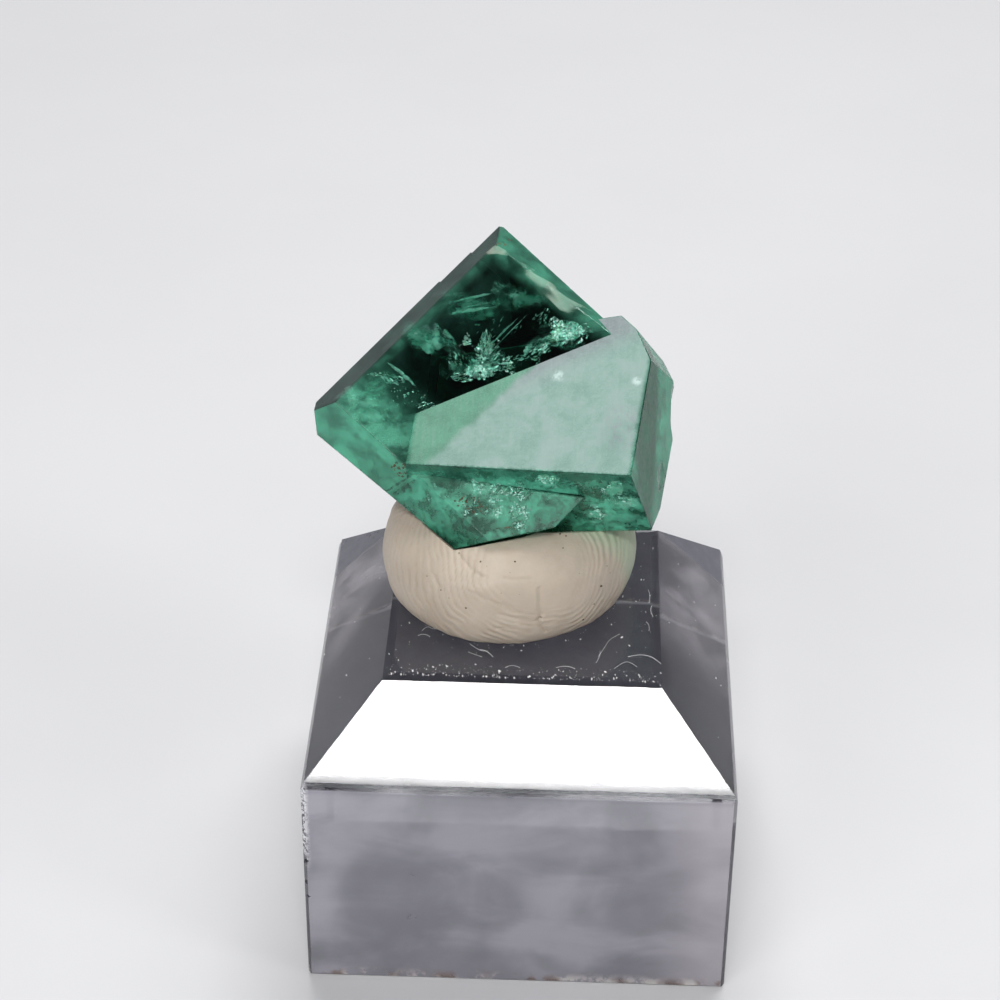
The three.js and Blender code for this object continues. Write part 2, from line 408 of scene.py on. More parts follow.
class Value:
    """A number that a material works out at each point."""

    def __init__(self, maker, socket):
        self.maker = maker
        self.socket = socket

    def _with(self, operation, *others):
        return self.maker.maths(operation, self, *others)

    def __add__(self, other):
        return self._with("ADD", other)

    def __sub__(self, other):
        return self._with("SUBTRACT", other)

    def __mul__(self, other):
        return self._with("MULTIPLY", other)

    def __radd__(self, other):
        return self.maker.maths("ADD", other, self)

    def __rsub__(self, other):
        return self.maker.maths("SUBTRACT", other, self)

    def __rmul__(self, other):
        return self.maker.maths("MULTIPLY", other, self)


class Maker:
    """Builds the nodes of one material or of the world."""

    def __init__(self, owner):
        owner.use_nodes = True
        self.owner = owner
        self.tree = owner.node_tree
        self.tree.nodes.clear()

    def node(self, kind, settings=None, out=0, **inputs):
        """A node of a kind, with its settings, and its inputs' values or links by name or number."""
        made = self.tree.nodes.new(kind)
        for key, value in (settings or {}).items():
            setattr(made, key, value)
        for key, value in inputs.items():
            socket = made.inputs[int(key[1:]) if key[0] == "_" else key.replace("_", " ")]
            if isinstance(value, Value):
                self.tree.links.new(value.socket, socket)
            elif socket.type == "RGBA":
                socket.default_value = (*value, 1)
            else:
                socket.default_value = value
        return Value(self, made.outputs[out]) if made.outputs else None

    def maths(self, operation, *values):
        inputs = {f"_{i}": value for i, value in enumerate(values)}
        return self.node("ShaderNodeMath", {"operation": operation}, **inputs)

    def most(self, *values):
        """The largest of some values."""
        top = values[0]
        for value in values[1:]:
            top = self.maths("MAXIMUM", top, value)
        return top

    def place(self, move=(0, 0, 0), turn=(0, 0, 0), scale=(1, 1, 1)):
        """Object coordinates in millimetres, moved, turned and stretched."""
        here = self.node("ShaderNodeTexCoord", out="Object")
        factor = tuple(s / MM for s in scale)
        return self.node(
            "ShaderNodeMapping", {"vector_type": "POINT"}, Vector=here, Location=move, Rotation=turn,
            Scale=factor,
        )

    def attribute(self, name):
        return self.node("ShaderNodeAttribute", {"attribute_name": name}, out="Fac")

    def along(self, place, direction):
        return self.node(
            "ShaderNodeVectorMath", {"operation": "DOT_PRODUCT"}, out="Value", _0=place, _1=direction
        )

    def near(self, place, point, radius):
        """1 at a point, falling to 0 at a radius from it, in millimetres."""
        away = self.node(
            "ShaderNodeVectorMath", {"operation": "DISTANCE"}, out="Value", _0=place, _1=point
        )
        return self.between(away, radius * 0.25, radius, 1, 0)

    def noise(self, place, scale, detail=3.0, roughness=0.5, distortion=0.0):
        return self.node(
            "ShaderNodeTexNoise", Vector=place, Scale=scale, Detail=detail, Roughness=roughness,
            Distortion=distortion,
        )

    def between(self, value, low, high, to_low=0.0, to_high=1.0):
        """A value mapped smoothly from one range to another, and kept in it."""
        return self.node(
            "ShaderNodeMapRange", {"interpolation_type": "SMOOTHSTEP"},
            _0=value, _1=low, _2=high, _3=to_low, _4=to_high,
        )

    def mixed(self, factor, a, b):
        """A colour between two colours."""
        return self.node("ShaderNodeMix", {"data_type": "RGBA"}, out=2, _0=factor, _6=a, _7=b)

    def bump(self, height, distance, strength=1.0):
        return self.node("ShaderNodeBump", Height=height, Distance=distance, Strength=strength)

    def principled(self, **inputs):
        return self.node("ShaderNodeBsdfPrincipled", **inputs)

    def blend(self, factor, a, b):
        return self.node("ShaderNodeMixShader", _0=factor, _1=a, _2=b)

    def finish(self, surface, **more):
        """Ends the material with its surface and, where it has one, its volume."""
        self.node("ShaderNodeOutputMaterial", Surface=surface, **more)
        return self.owner


def material_maker(name):
    return Maker(bpy.data.materials.new(name))


def from_face(m, place, face, centre=STONE_CENTRE):
    """How far a point is inside a face's plane, in millimetres: 0 on the face."""
    turn, rise, distance = face
    normal = facing(turn, rise)
    return (distance + centre.dot(normal)) - m.along(place, normal)


def beside(m, place, name, start, end):
    """How far right of a line through two image points it is, on a face of the second crystal."""
    a, b = (inside(SECOND_FACES, name, *point, 0)[0] for point in (start, end))
    across = (b - a).cross(facing(*SECOND_FACES[name][:2])).normalized()
    return m.along(place, across) - across.dot(a)


def fluorite_material(s):
    m = material_maker("green_fluorite")
    place = m.place()
    cloud = m.noise(place, 0.55, 5, 0.62, 0.4)
    grain = m.noise(place, 3.2, 6, 0.7)
    speck = m.noise(place, 9.0, 2, 0.5)
    lines = m.noise(m.place(turn=(0, 0, 0.1), scale=(7.0, 0.5, 0.5)), 0.8, 4, 0.6)
    haze = m.attribute("haze")
    frost_face = m.attribute("frost")

    # Frost: only on the second crystal's top face, greener and thinner in its left corner
    to_left = from_face(m, place, SECOND_FACES["left"]) + cloud * 0.4
    to_under = from_face(m, place, SECOND_FACES["under"]) + grain * 0.3
    to_right = from_face(m, place, SECOND_FACES["right"]) + cloud * 0.4
    edges = m.between(to_left, 0.15, 0.6) * m.between(to_under, 0.1, 0.35)
    edges *= m.between(to_right, 0.15, 0.55)
    brighter = m.between(beside(m, place, "top", (440, 450), (514, 384)) + cloud * 0.7, 0.1, 0.65)
    upper = m.between(beside(m, place, "top", (470, 398), (640, 320)) + cloud * 1.8, 0.4, 2.6, 1, 0)
    patches = m.between(cloud * 0.7 + grain * 0.3, 0.34, 0.62, 0.82, 1.0)
    frost = frost_face * edges * patches * m.between(brighter, 0, 1, 0.78, 0.97)

    pale = m.mixed(m.between(cloud, 0.36, 0.66), s.frost_colour, (0.34, 0.47, 0.43))
    pale = m.mixed(upper * 0.95, pale, (0.31, 0.335, 0.36))
    mottle = m.near(place, inside(SECOND_FACES, "top", 624, 428, 0)[0], 2.2) * m.between(grain, 0.42, 0.6)
    pale = m.mixed(mottle * 0.45, pale, (0.30, 0.26, 0.33))
    tone = m.mixed(brighter, (0.17, 0.38, 0.27), pale)
    tone = m.mixed(m.between(lines, 0.45, 0.7, 0, 0.2), tone, (0.42, 0.55, 0.50))
    spots = m.most(
        m.near(place, inside(SECOND_FACES, "top", 558, 376, 0)[0], 0.5),
        m.near(place, inside(SECOND_FACES, "top", 637, 381, 0)[0], 0.4),
    )
    tone = m.mixed(spots * m.between(grain, 0.4, 0.55), tone, (0.62, 0.78, 0.74))
    frosted = m.principled(
        Base_Color=tone, Roughness=m.between(grain, 0.3, 0.7, 0.45, 0.65), IOR=STONE_IOR,
        Transmission_Weight=0.25, Normal=m.bump(grain * 0.4 + lines * 0.6, 0.012 * MM, 0.4),
    )

    # Everywhere else: polished on the front face, and a milky haze under the duller ones, with painted
    # glints in bright patches and painted shade on the hidden back faces
    height = m.along(place, Vector((0, 0, 1)))
    rim = m.most(
        m.between(from_face(m, place, MAIN_FACES["upper_right"]), 0.0, 0.9, 0.40, 0),
        m.between(from_face(m, place, MAIN_FACES["upper_left_strip"]), 0.0, 0.7, 0.25, 0),
        m.between(from_face(m, place, MAIN_FACES["lower_left"]), 0.2, 3.4, 0.60, 0),
        m.between(height + cloud * 1.5, 25.2, 27.6, 0.9, 0),
    ) * m.between(cloud, 0.35, 0.6, 0.5, 1.0)
    # The front face comes out again under the second crystal, and is dull there
    lower_part = m.between(from_face(m, place, SECOND_FACES["under"]), -0.25, -0.02, 0.95, 0)
    flank = m.between(beside(m, place, "right", (648, 480), (652, 380)), 0.3, 2.2, 0.55, 1.15)
    right_side = m.between(beside(m, place, "top", (634, 470), (644, 330)), -0.1, 0.1)
    dull = m.most(haze, rim, lower_part)
    # The faces that are covered with painted shade
    deep = m.attribute("deep")
    # Painted glints: speckles of bright mint in the patches below stand in for light caught by fractures
    # under the surface
    glint_speckle = m.between(m.noise(place, 4.6, 5, 0.78, 1.4), 0.50, 0.55)
    swirl = m.node("ShaderNodeTexNoise", out="Color", Vector=place, Scale=0.9, Detail=5.0, Roughness=0.7)
    torn = m.node(
        "ShaderNodeVectorMath", {"operation": "MULTIPLY_ADD"}, _0=swirl, _1=(4.4, 4.4, 4.4),
        _2=m.node("ShaderNodeVectorMath", {"operation": "SUBTRACT"}, _0=place, _1=(2.2, 2.2, 2.2)),
    )
    patch = m.most(*(
        m.near(torn, inside(faces, name, x, y, 0)[0], radius) for faces, name, x, y, radius in GLINT_PATCHES
    ))
    patch = m.between(patch + grain * 0.9 - 0.45, 0.14, 0.56)
    bright = glint_speckle * patch
    # The lower faces are clear in places, most of all close under the frosted face
    clefts = m.noise(place, 1.1, 5, 0.62, 0.3)
    below = m.between(m.maths("ABSOLUTE", from_face(m, place, SECOND_FACES["under"])), 0.02, 0.06, 1, 0)
    busy = m.most(lower_part, below, right_side * 0.35)
    from_top = from_face(m, place, SECOND_FACES["top"])
    open_here = m.between(clefts, 0.36, 0.62) * m.between(from_top, 0.1, 1.5)
    dull = dull * (1 - busy * (1 - m.between(open_here, 0, 1, 0.5, 1.1))) * (1 - patch * 0.4)
    cover = dull * m.between(cloud * 0.7 + grain * 0.3, 0.34, 0.64, 0.50, 1.0) * 0.72
    # Nearly all of a hidden face is covered by its painted shade
    cover = m.most(cover, deep * m.between(cloud, 0.30, 0.70, 0.90, 0.99), bright * 0.85)
    wear = m.between(grain, 0.45, 0.75, 0.012, 0.07)
    clear = m.principled(
        Base_Color=(1, 1, 1), Roughness=wear + dull * 0.42, IOR=STONE_IOR, Transmission_Weight=1.0,
        Normal=m.bump(grain * 0.6 + speck * 0.4, 0.004 * MM, 0.6),
    )
    haze_tone_and_painted_light = m.mixed(m.between(cloud, 0.36, 0.66), s.haze_colour, tuple(c * 1.3 for c in s.haze_colour))
    streaked = right_side * (1 - m.between(flank + (grain - 0.5) * 0.9, 0.6, 1.1))
    haze_tone_and_painted_light = m.mixed(streaked * (1 - frost_face) * 0.85, haze_tone_and_painted_light, (0.018, 0.16, 0.09))
    # The upper left strip: a grey-green colour that is partly its own dull haze and partly a painted sheen
    strip = m.between(from_face(m, place, MAIN_FACES["upper_left_strip"]), 0.02, 0.12, 1, 0)
    haze_tone_and_painted_light = m.mixed(strip, haze_tone_and_painted_light, (0.12, 0.20, 0.175))
    mottled = m.between(grain * 0.5 + clefts * 0.5, 0.36, 0.6)
    below_tone = m.mixed(mottled, (0.035, 0.26, 0.15), (0.13, 0.60, 0.40))
    below_tone = m.mixed(lower_part * 0.45, below_tone, (0.035, 0.24, 0.15))
    haze_tone_and_painted_light = m.mixed(m.most(lower_part, below) * 0.8, haze_tone_and_painted_light, below_tone)
    # Painted shade: the hidden back faces are coloured nearly black, a little lighter in random mottles
    back_shade_noise = m.noise(place, 0.75, 6, 0.7, 0.5)
    back_shade_mottle = m.between(back_shade_noise * 0.7 + cloud * 0.3, 0.34, 0.66)
    painted_back_shade = m.mixed(back_shade_mottle, (0.004, 0.017, 0.014), (0.021, 0.092, 0.064))
    haze_tone_and_painted_light = m.mixed(deep, haze_tone_and_painted_light, painted_back_shade)
    # Painted glints: pale mint colour in those patches
    glint = m.mixed(m.between(speck, 0.42, 0.6), (0.26, 0.86, 0.64), (0.72, 1.0, 0.90))
    haze_tone_and_painted_light = m.mixed(bright, haze_tone_and_painted_light, glint)
    haze_and_painted_light = m.principled(
        Base_Color=haze_tone_and_painted_light, Roughness=m.between(grain, 0.3, 0.7, 0.28, 0.5), IOR=STONE_IOR,
        Specular_IOR_Level=0.3, Normal=m.bump(grain, 0.015 * MM, 0.5),
    )
    depth = m.node("ShaderNodeVolumeAbsorption", Color=s.depth_colour, Density=s.depth_strength)
    return m.finish(m.blend(frost, m.blend(cover, clear, haze_and_painted_light), frosted), Volume=depth)


def fracture_material(s):
    m = material_maker("bright_fracture")
    place = m.place()
    shade = m.noise(place, 4.0, 4, 0.6)
    colour = m.mixed(m.between(shade, 0.40, 0.66), s.flaw_colour, (0.85, 1.0, 0.95))
    colour = m.mixed(m.between(m.noise(place, 0.9, 2), 0.54, 0.62, 0, 0.3), colour, (0.80, 1.0, 0.55))
    flake = m.principled(
        Base_Color=colour, Metallic=m.between(shade, 0.3, 0.7, 0.3, 0.8),
        Roughness=m.between(shade, 0.3, 0.7, 0.18, 0.4), IOR=1.6,
        Normal=m.bump(m.noise(place, 12.0, 2), 0.02 * MM, 0.6),
    )
    gone = m.node("ShaderNodeBsdfTransparent", Color=(1, 1, 1))
    see = m.between(m.noise(place, 6.0, 3, 0.6), 0.30, 0.5, 0.45, 1.0)
    return m.finish(m.blend(see, gone, flake))


def veil_material(name, colour, cover, scale, fill, soft):
    """A cloudy film inside the stone, thinner towards its edge."""
    m = material_maker(name)
    place = m.place()
    fade = m.attribute("fade")
    cloud = m.noise(place, scale, 6, 0.66, 0.6)
    streak = m.noise(m.place(turn=(0.4, 0.9, 0.3), scale=(0.5, 2.2, 0.5)), scale * 1.4, 4, 0.6)
    see = m.between((cloud * 0.6 + streak * 0.4) * 2.2 + fade * 0.3 + fill - 0.6, 0.45, 0.95, 0.0, cover)
    tint = m.mixed(m.between(streak, 0.3, 0.7), colour, tuple(0.6 * c + 0.4 for c in colour))
    film = m.principled(Base_Color=tint, Roughness=m.between(cloud, 0.3, 0.7, 0.3, 0.6), IOR=1.3)
    gone = m.node("ShaderNodeBsdfTransparent", Color=(1, 1, 1))
    return m.finish(m.blend(see * m.between(fade, 0.0, soft), gone, film))


def stain_material():
    m = material_maker("iron_stain")
    shade = m.noise(m.place(), 5.0, 4, 0.6)
    colour = m.mixed(m.between(shade, 0.3, 0.7), (0.03, 0.018, 0.010), (0.14, 0.09, 0.04))
    return m.finish(m.principled(Base_Color=colour, Roughness=m.between(shade, 0.3, 0.7, 0.5, 0.8)))


def putty_material(s):
    m = material_maker("mineral_putty")
    place = m.place()
    cloud = m.noise(place, 0.35, 5, 0.6, 0.3)
    grain = m.noise(place, 6.0, 5, 0.65)
    fine = m.noise(place, 2.2, 6, 0.7)
    # Painted shade: the putty is coloured darker in the valleys of its finger ridges and in its creases
    groove_shade = m.between(m.attribute("press") + fine * 1.2, -0.7, 0.9, 0.42, 0)
    pits = m.node("ShaderNodeTexVoronoi", {"feature": "F1"}, Vector=place, Scale=1.6, Randomness=1.0)
    warm = m.mixed(m.between(cloud, 0.32, 0.7), s.colour, tuple(c * 1.12 for c in s.colour))
    grey = m.mixed(m.between(m.noise(place, 0.8, 4), 0.5, 0.8, 0, 0.4), warm, (0.44, 0.35, 0.26))
    groove_shaded = m.mixed(groove_shade, grey, (0.30, 0.225, 0.155))
    dirt = m.between(pits, 0.02, 0.07, 1, 0) * m.between(m.noise(place, 0.9, 2), 0.5, 0.62)
    soiled = m.mixed(dirt * 0.85, groove_shaded, (0.08, 0.055, 0.04))
    # The stone throws a little green on the putty next to it
    near_stone = m.between(from_face(m, place, SECOND_FACES["under"]), -1.5, 0.0, 0, 0.5)
    thrown = near_stone * m.between(m.along(place, Vector((1, 0, 0))), -2.0, 1.5)
    colour = m.mixed(thrown, soiled, (0.33, 0.50, 0.33))
    skin = m.principled(
        Base_Color=colour, Roughness=m.between(grain, 0.3, 0.7, 0.40, 0.62), IOR=1.48,
        Subsurface_Weight=0.10, Subsurface_Scale=0.5 * MM,
        Normal=m.bump(grain * 0.35 + fine * 0.65, 0.05 * MM, 0.6),
    )
    return m.finish(skin)


def acrylic_material(s):
    m = material_maker("clear_acrylic")
    place = m.place()
    cloud = m.noise(place, 0.13, 3, 0.45, 0.8)
    wisp = m.noise(m.place(turn=(0, 0.35, 0), scale=(0.55, 1.0, 1.1)), 0.22, 4, 0.5, 0.6)
    grime = m.noise(place, 1.0, 6, 0.65)
    grain = m.noise(place, 5.0, 4, 0.7)
    scuff = m.noise(m.place(turn=(0.2, 0.4, 0.6), scale=(0.5, 6.0, 0.5)), 1.2, 5, 0.7)
    x, y, z = (m.along(place, Vector(axis)) for axis in ((1, 0, 0), (0, 1, 0), (0, 0, 1)))

    # The back face and the underside carry the painted shade below
    behind = m.between(y, -BLOCK_HALF + 0.3, -BLOCK_HALF + 0.6)
    under = m.most(m.between(z, 0.01, 0.06, 1, 0), m.between(z, 0.14, 0.24, 1, 0) * behind)
    front = m.between(y, -BLOCK_HALF + 0.02, -BLOCK_HALF + 0.08, 1, 0)
    back = m.between(y, BLOCK_HALF - 0.24, BLOCK_HALF - 0.14)
    sides = m.between(m.maths("ABSOLUTE", x), BLOCK_HALF - 0.08, BLOCK_HALF - 0.02)
    top = m.between(z, BLOCK_TOP - 0.05, BLOCK_TOP - 0.02)
    bands = m.between(m.maths("ABSOLUTE", x), 9.3, 11.6, 0, 0.14) * m.between(z, 0.5, 10)
    back = m.most(back, m.between(y, 8.15, 8.5) * m.between(z, BEVEL_FOOT - 0.1, BEVEL_FOOT) * (1 - top))
    slopes = m.between(z, BEVEL_FOOT, BEVEL_FOOT + 0.1) * (1 - top) * m.between(y, -7.5, 3.0)
    slopes *= m.between(m.maths("ABSOLUTE", x), 8.0, 8.3)
    foot = m.between(z, 0.15, 1.0, 1, 0) * m.between(grime, 0.44, 0.56) * (1 - under)
    worn = m.between(z, BEVEL_FOOT, BEVEL_FOOT + 1.0, 0.28, 0) * m.between(y, -8.5, -8.2, 1, 0)
    worn *= m.between(z, BEVEL_FOOT - 0.05, BEVEL_FOOT)
    corner = m.between(x, -BLOCK_HALF + 0.15, -BLOCK_HALF + 0.55, 1, 0)
    corner *= m.between(y, -BLOCK_HALF + 0.15, -BLOCK_HALF + 0.55, 1, 0)
    corner *= m.between(z, 8.0, 10.5) * m.between(grain, 0.42, 0.56)
    cover = m.most(
        front * (m.between(cloud * 0.5 + wisp * 0.5, 0.34, 0.66, 0.52, 0.72) + bands),
        slopes * m.between(wisp * 0.6 + cloud * 0.4, 0.38, 0.62, 0.08, 0.40),
        back * m.between(cloud, 0.35, 0.65, 0.60, 0.80),
        sides * m.between(wisp, 0.35, 0.65, 0.06, 0.22),
        top * m.between(grime, 0.4, 0.7, 0.02, 0.10),
        under * m.between(cloud, 0.35, 0.65, 0.82, 0.95),
        foot * 0.55,
        corner * 0.8,
    )
    clear = m.principled(
        Base_Color=(1, 1, 1), Roughness=m.between(scuff, 0.4, 0.75, 0.004, 0.05) + worn, IOR=1.49,
        Transmission_Weight=1.0, Normal=m.bump(scuff, 0.0015 * MM, 0.5),
    )
    clouded = m.between(cloud * 0.5 + wisp * 0.5, 0.38, 0.62)
    pale = m.mixed(clouded, (0.265, 0.26, 0.30), (0.37, 0.36, 0.405))
    film = m.mixed(m.between(x, 7.0, 12.0, 0, 0.7), pale, (0.45, 0.42, 0.455))
    film = m.mixed(m.between(z, BEVEL_FOOT - 0.7, BEVEL_FOOT - 0.1, 0, 0.35), film, (0.14, 0.14, 0.17))
    film = m.mixed(slopes, film, (0.56, 0.53, 0.57))
    # Painted shade: the back face and the underside get a dull dark grey film, so the block looks dark where
    # one sees through it
    film = m.mixed(back, film, (0.15, 0.15, 0.18))
    film = m.mixed(under, film, (0.10, 0.10, 0.12))
    brown = m.mixed(m.between(m.noise(place, 0.4, 3), 0.44, 0.58), (0.22, 0.16, 0.14), (0.72, 0.68, 0.66))
    film = m.mixed(foot, film, brown)
    film = m.mixed(corner, film, (0.85, 0.85, 0.88))
    dull = m.principled(Base_Color=film, Roughness=m.between(grime, 0.3, 0.7, 0.45, 0.7))
    depth = m.node("ShaderNodeVolumeAbsorption", Color=s.tint, Density=s.tint_strength)
    return m.finish(m.blend(cover, clear, dull), Volume=depth)


def dust_material():
    m = material_maker("dust_and_lint")
    shade = m.noise(m.place(), 3.0, 2)
    colour = m.mixed(m.between(shade, 0.35, 0.65), (0.72, 0.71, 0.69), (0.92, 0.91, 0.89))
    return m.finish(m.principled(Base_Color=colour, Roughness=m.between(shade, 0.3, 0.7, 0.6, 0.9)))


def floor_material(s):
    m = material_maker("pale_floor")
    soft = m.noise(m.place(scale=(0.02, 0.02, 0.02)), 1.5, 4, 0.5)
    colour = m.mixed(m.between(soft, 0.3, 0.7), s.floor_colour, tuple(0.96 * c for c in s.floor_colour))
    return m.finish(m.principled(Base_Color=colour, Roughness=m.between(soft, 0.3, 0.7, 0.55, 0.65)))


def shell_cutter(place, toward, radius, depth, seed):
    """A block whose underside is a shallow rippled cap, for a shell-shaped break."""
    sphere = (radius**2 + depth**2) / (2 * depth)
    side = radius * 1.5
    bm = bmesh.new()
    bmesh.ops.create_grid(bm, x_segments=36, y_segments=36, size=side)
    start = Vector((-0.7 * radius, 0.4 * radius, 0))
    for v in bm.verts:
        r2 = v.co.x**2 + v.co.y**2
        ripple = math.sin((v.co - start).length * 7.5 + seed) * 0.018 * max(0, 1 - r2 / side**2)
        wave = noise.noise(v.co * 0.9 + Vector((seed, 0, 0))) * 0.05
        v.co.z = sphere - depth - math.sqrt(max(sphere**2 - r2, 0)) + ripple + wave
    roof = bmesh.ops.extrude_face_region(bm, geom=bm.faces[:])
    lifted = [v for v in roof["geom"] if isinstance(v, bmesh.types.BMVert)]
    bmesh.ops.translate(bm, vec=(0, 0, 4), verts=lifted)
    bmesh.ops.recalc_face_normals(bm, faces=bm.faces)
    normal = facing(*toward)
    aim = normal.to_track_quat("Z", "Y").to_matrix().to_4x4()
    bmesh.ops.transform(bm, matrix=Matrix.Translation(Vector(place)) @ aim, verts=bm.verts)
    return new_object("shell_cutter", bm)


def step_cutter(name, towards, start, depth):
    turn, rise, distance = MAIN_FACES[name]
    normal = facing(turn, rise)
    across = facing(*towards)
    across = (across - normal * across.dot(normal)).normalized()
    along = normal.cross(across)
    basis = Matrix((across, along, normal)).transposed().to_4x4()
    side = 40
    middle = STONE_CENTRE + normal * (distance - depth + side / 2) + across * (start + side / 2)
    bm = bmesh.new()
    bmesh.ops.create_cube(bm, size=side, matrix=Matrix.Translation(middle) @ basis)
    return new_object("step_cutter", bm)


def turned(rng):
    """A turn in any direction."""
    return Euler((rng.uniform(0, 6), rng.uniform(0, 6), rng.uniform(0, 6))).to_matrix().to_4x4()


def stretched(rng, *ranges):
    """A stretch along each axis, each one somewhere in its range."""
    return Matrix.Diagonal((*(rng.uniform(*r) for r in ranges), 1))


def chip_cutter():
    """Small bites along the stone's sharp edges, as one mesh."""
    rng = random.Random(7)
    bm = bmesh.new()
    for (name_a, name_b), count, size in CHIP_ROWS:
        start, end = edge_line(name_a, name_b)
        for i in range(count):
            at = start.lerp(end, (i + rng.uniform(0.1, 0.9)) / count)
            big = size * (0.35 + 1.1 * rng.random() ** 2.5)
            turn = turned(rng)
            stretch = stretched(rng, (1.0, 2.2), (0.6, 1.0), (0.5, 0.9))
            bmesh.ops.create_icosphere(
                bm, subdivisions=1, radius=big, matrix=Matrix.Translation(at) @ turn @ stretch
            )
    return new_object("chip_cutter", bm)


def stone_body(rounding):
    main = new_object("fluorite_octahedron", convex(MAIN_FACES, rounding=rounding))
    for step in GROWTH_STEPS:
        combined(main, step_cutter(*step), "DIFFERENCE")
    second = new_object("second_crystal", convex(SECOND_FACES, rounding=rounding))
    for i, shell in enumerate(SHELL_BREAKS):
        combined(second, shell_cutter(*shell, i), "DIFFERENCE")
    combined(main, second, "UNION")
    combined(main, chip_cutter(), "DIFFERENCE")
    return main


def largest_island(bm):
    """Deletes everything but the piece of the mesh with the most faces."""
    seen, islands = set(), []
    for f in bm.faces:
        if f in seen:
            continue
        island, rest = [], [f]
        seen.add(f)
        while rest:
            g = rest.pop()
            island.append(g)
            for e in g.edges:
                for h in e.link_faces:
                    if h not in seen:
                        seen.add(h)
                        rest.append(h)
        islands.append(island)
    keep = set(max(islands, key=len))
    bmesh.ops.delete(bm, geom=[f for f in bm.faces if f not in keep], context="FACES")


def face_haze(f):
    """How hazy a face of the stone is, and whether it is the frosted one or one with painted shade."""
    middle = f.calc_center_median() - STONE_CENTRE
    for faces in (MAIN_FACES, SECOND_FACES):
        for name, (turn, rise, distance) in faces.items():
            normal = facing(turn, rise)
            # The floor of a growth step counts as part of the dark face that it was cut into
            on_face = name in PAINTED_SHADE_FACES or abs(middle.dot(normal) - distance) < 0.01
            if f.normal.dot(normal) > PARALLEL and on_face:
                return FACE_HAZE.get(name, OTHER_HAZE), float(name == "top"), float(name in PAINTED_SHADE_FACES)
    return OTHER_HAZE, 0.0, 0.0


class SPECIMEN_OT_stone(bpy.types.Operator):
    """Cut the two intergrown crystals with their steps, shell breaks and chipped edges"""

    bl_idname = "specimen.stone"
    bl_label = "Fluorite crystal"

    def execute(self, context):
        s = context.scene.specimen_stone
        stone = stone_body(s.edge_round / MM)
        bm = bmesh.new()
        bm.from_mesh(stone.data)
        bpy.data.objects.remove(stone)
        bmesh.ops.remove_doubles(bm, verts=bm.verts, dist=1e-4)
        largest_island(bm)
        bm.normal_update()
        planes = [facing(t, r) for t, r, _ in [*MAIN_FACES.values(), *SECOND_FACES.values()]]
        haze = bm.loops.layers.float.new("haze")
        frost = bm.loops.layers.float.new("frost")
        # Marks the faces that get the painted shade
        deep = bm.loops.layers.float.new("deep")
        for f in bm.faces:
            flat = any(f.normal.dot(n) > PARALLEL for n in planes)
            f.smooth = not flat and 0.004 < f.calc_area() < 0.2
            values = face_haze(f)
            for corner in f.loops:
                corner[haze], corner[frost], corner[deep] = values
        piece = finished("fluorite_crystal_stone", bm, fluorite_material(s))
        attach(piece, "root")
        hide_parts("fluorite_crystal")
        return {"FINISHED"}


def flake(bm, at, view, radius, rng, along=None):
    """One small broken flake, roughly turned to the viewer; a long blade where a direction is given."""
    spin = rng.uniform(0, 2 * math.pi) if along is None else math.radians(rng.gauss(along, 16))
    thin = rng.uniform(0.35, 0.8) if along is None else rng.uniform(0.10, 0.28)
    tilt = Euler((rng.uniform(-0.6, 0.6), rng.uniform(-0.6, 0.6), 0)).to_matrix().to_4x4()
    aim = (-view).to_track_quat("Z", "Y").to_matrix().to_4x4() @ tilt @ Matrix.Rotation(spin, 4, "Z")
    made = bmesh.ops.create_circle(
        bm, cap_ends=True, segments=rng.choice((5, 6, 7)), radius=radius,
        matrix=Matrix.Translation(at) @ aim @ Matrix.Diagonal((1, thin, 1, 1)),
    )
    for v in made["verts"]:
        v.co += Vector((rng.uniform(-1, 1), rng.uniform(-1, 1), rng.uniform(-1, 1))) * radius * 0.2 * thin


def trimmed(bm, faces, skin=0.08):
    """Cuts off what reaches out of a crystal, or into its outer skin."""
    for turn, rise, distance in faces.values():
        normal = facing(turn, rise)
        bmesh.ops.bisect_plane(
            bm, geom=bm.verts[:] + bm.edges[:] + bm.faces[:], dist=1e-5,
            plane_co=STONE_CENTRE + normal * (distance - skin), plane_no=normal, clear_outer=True,
        )


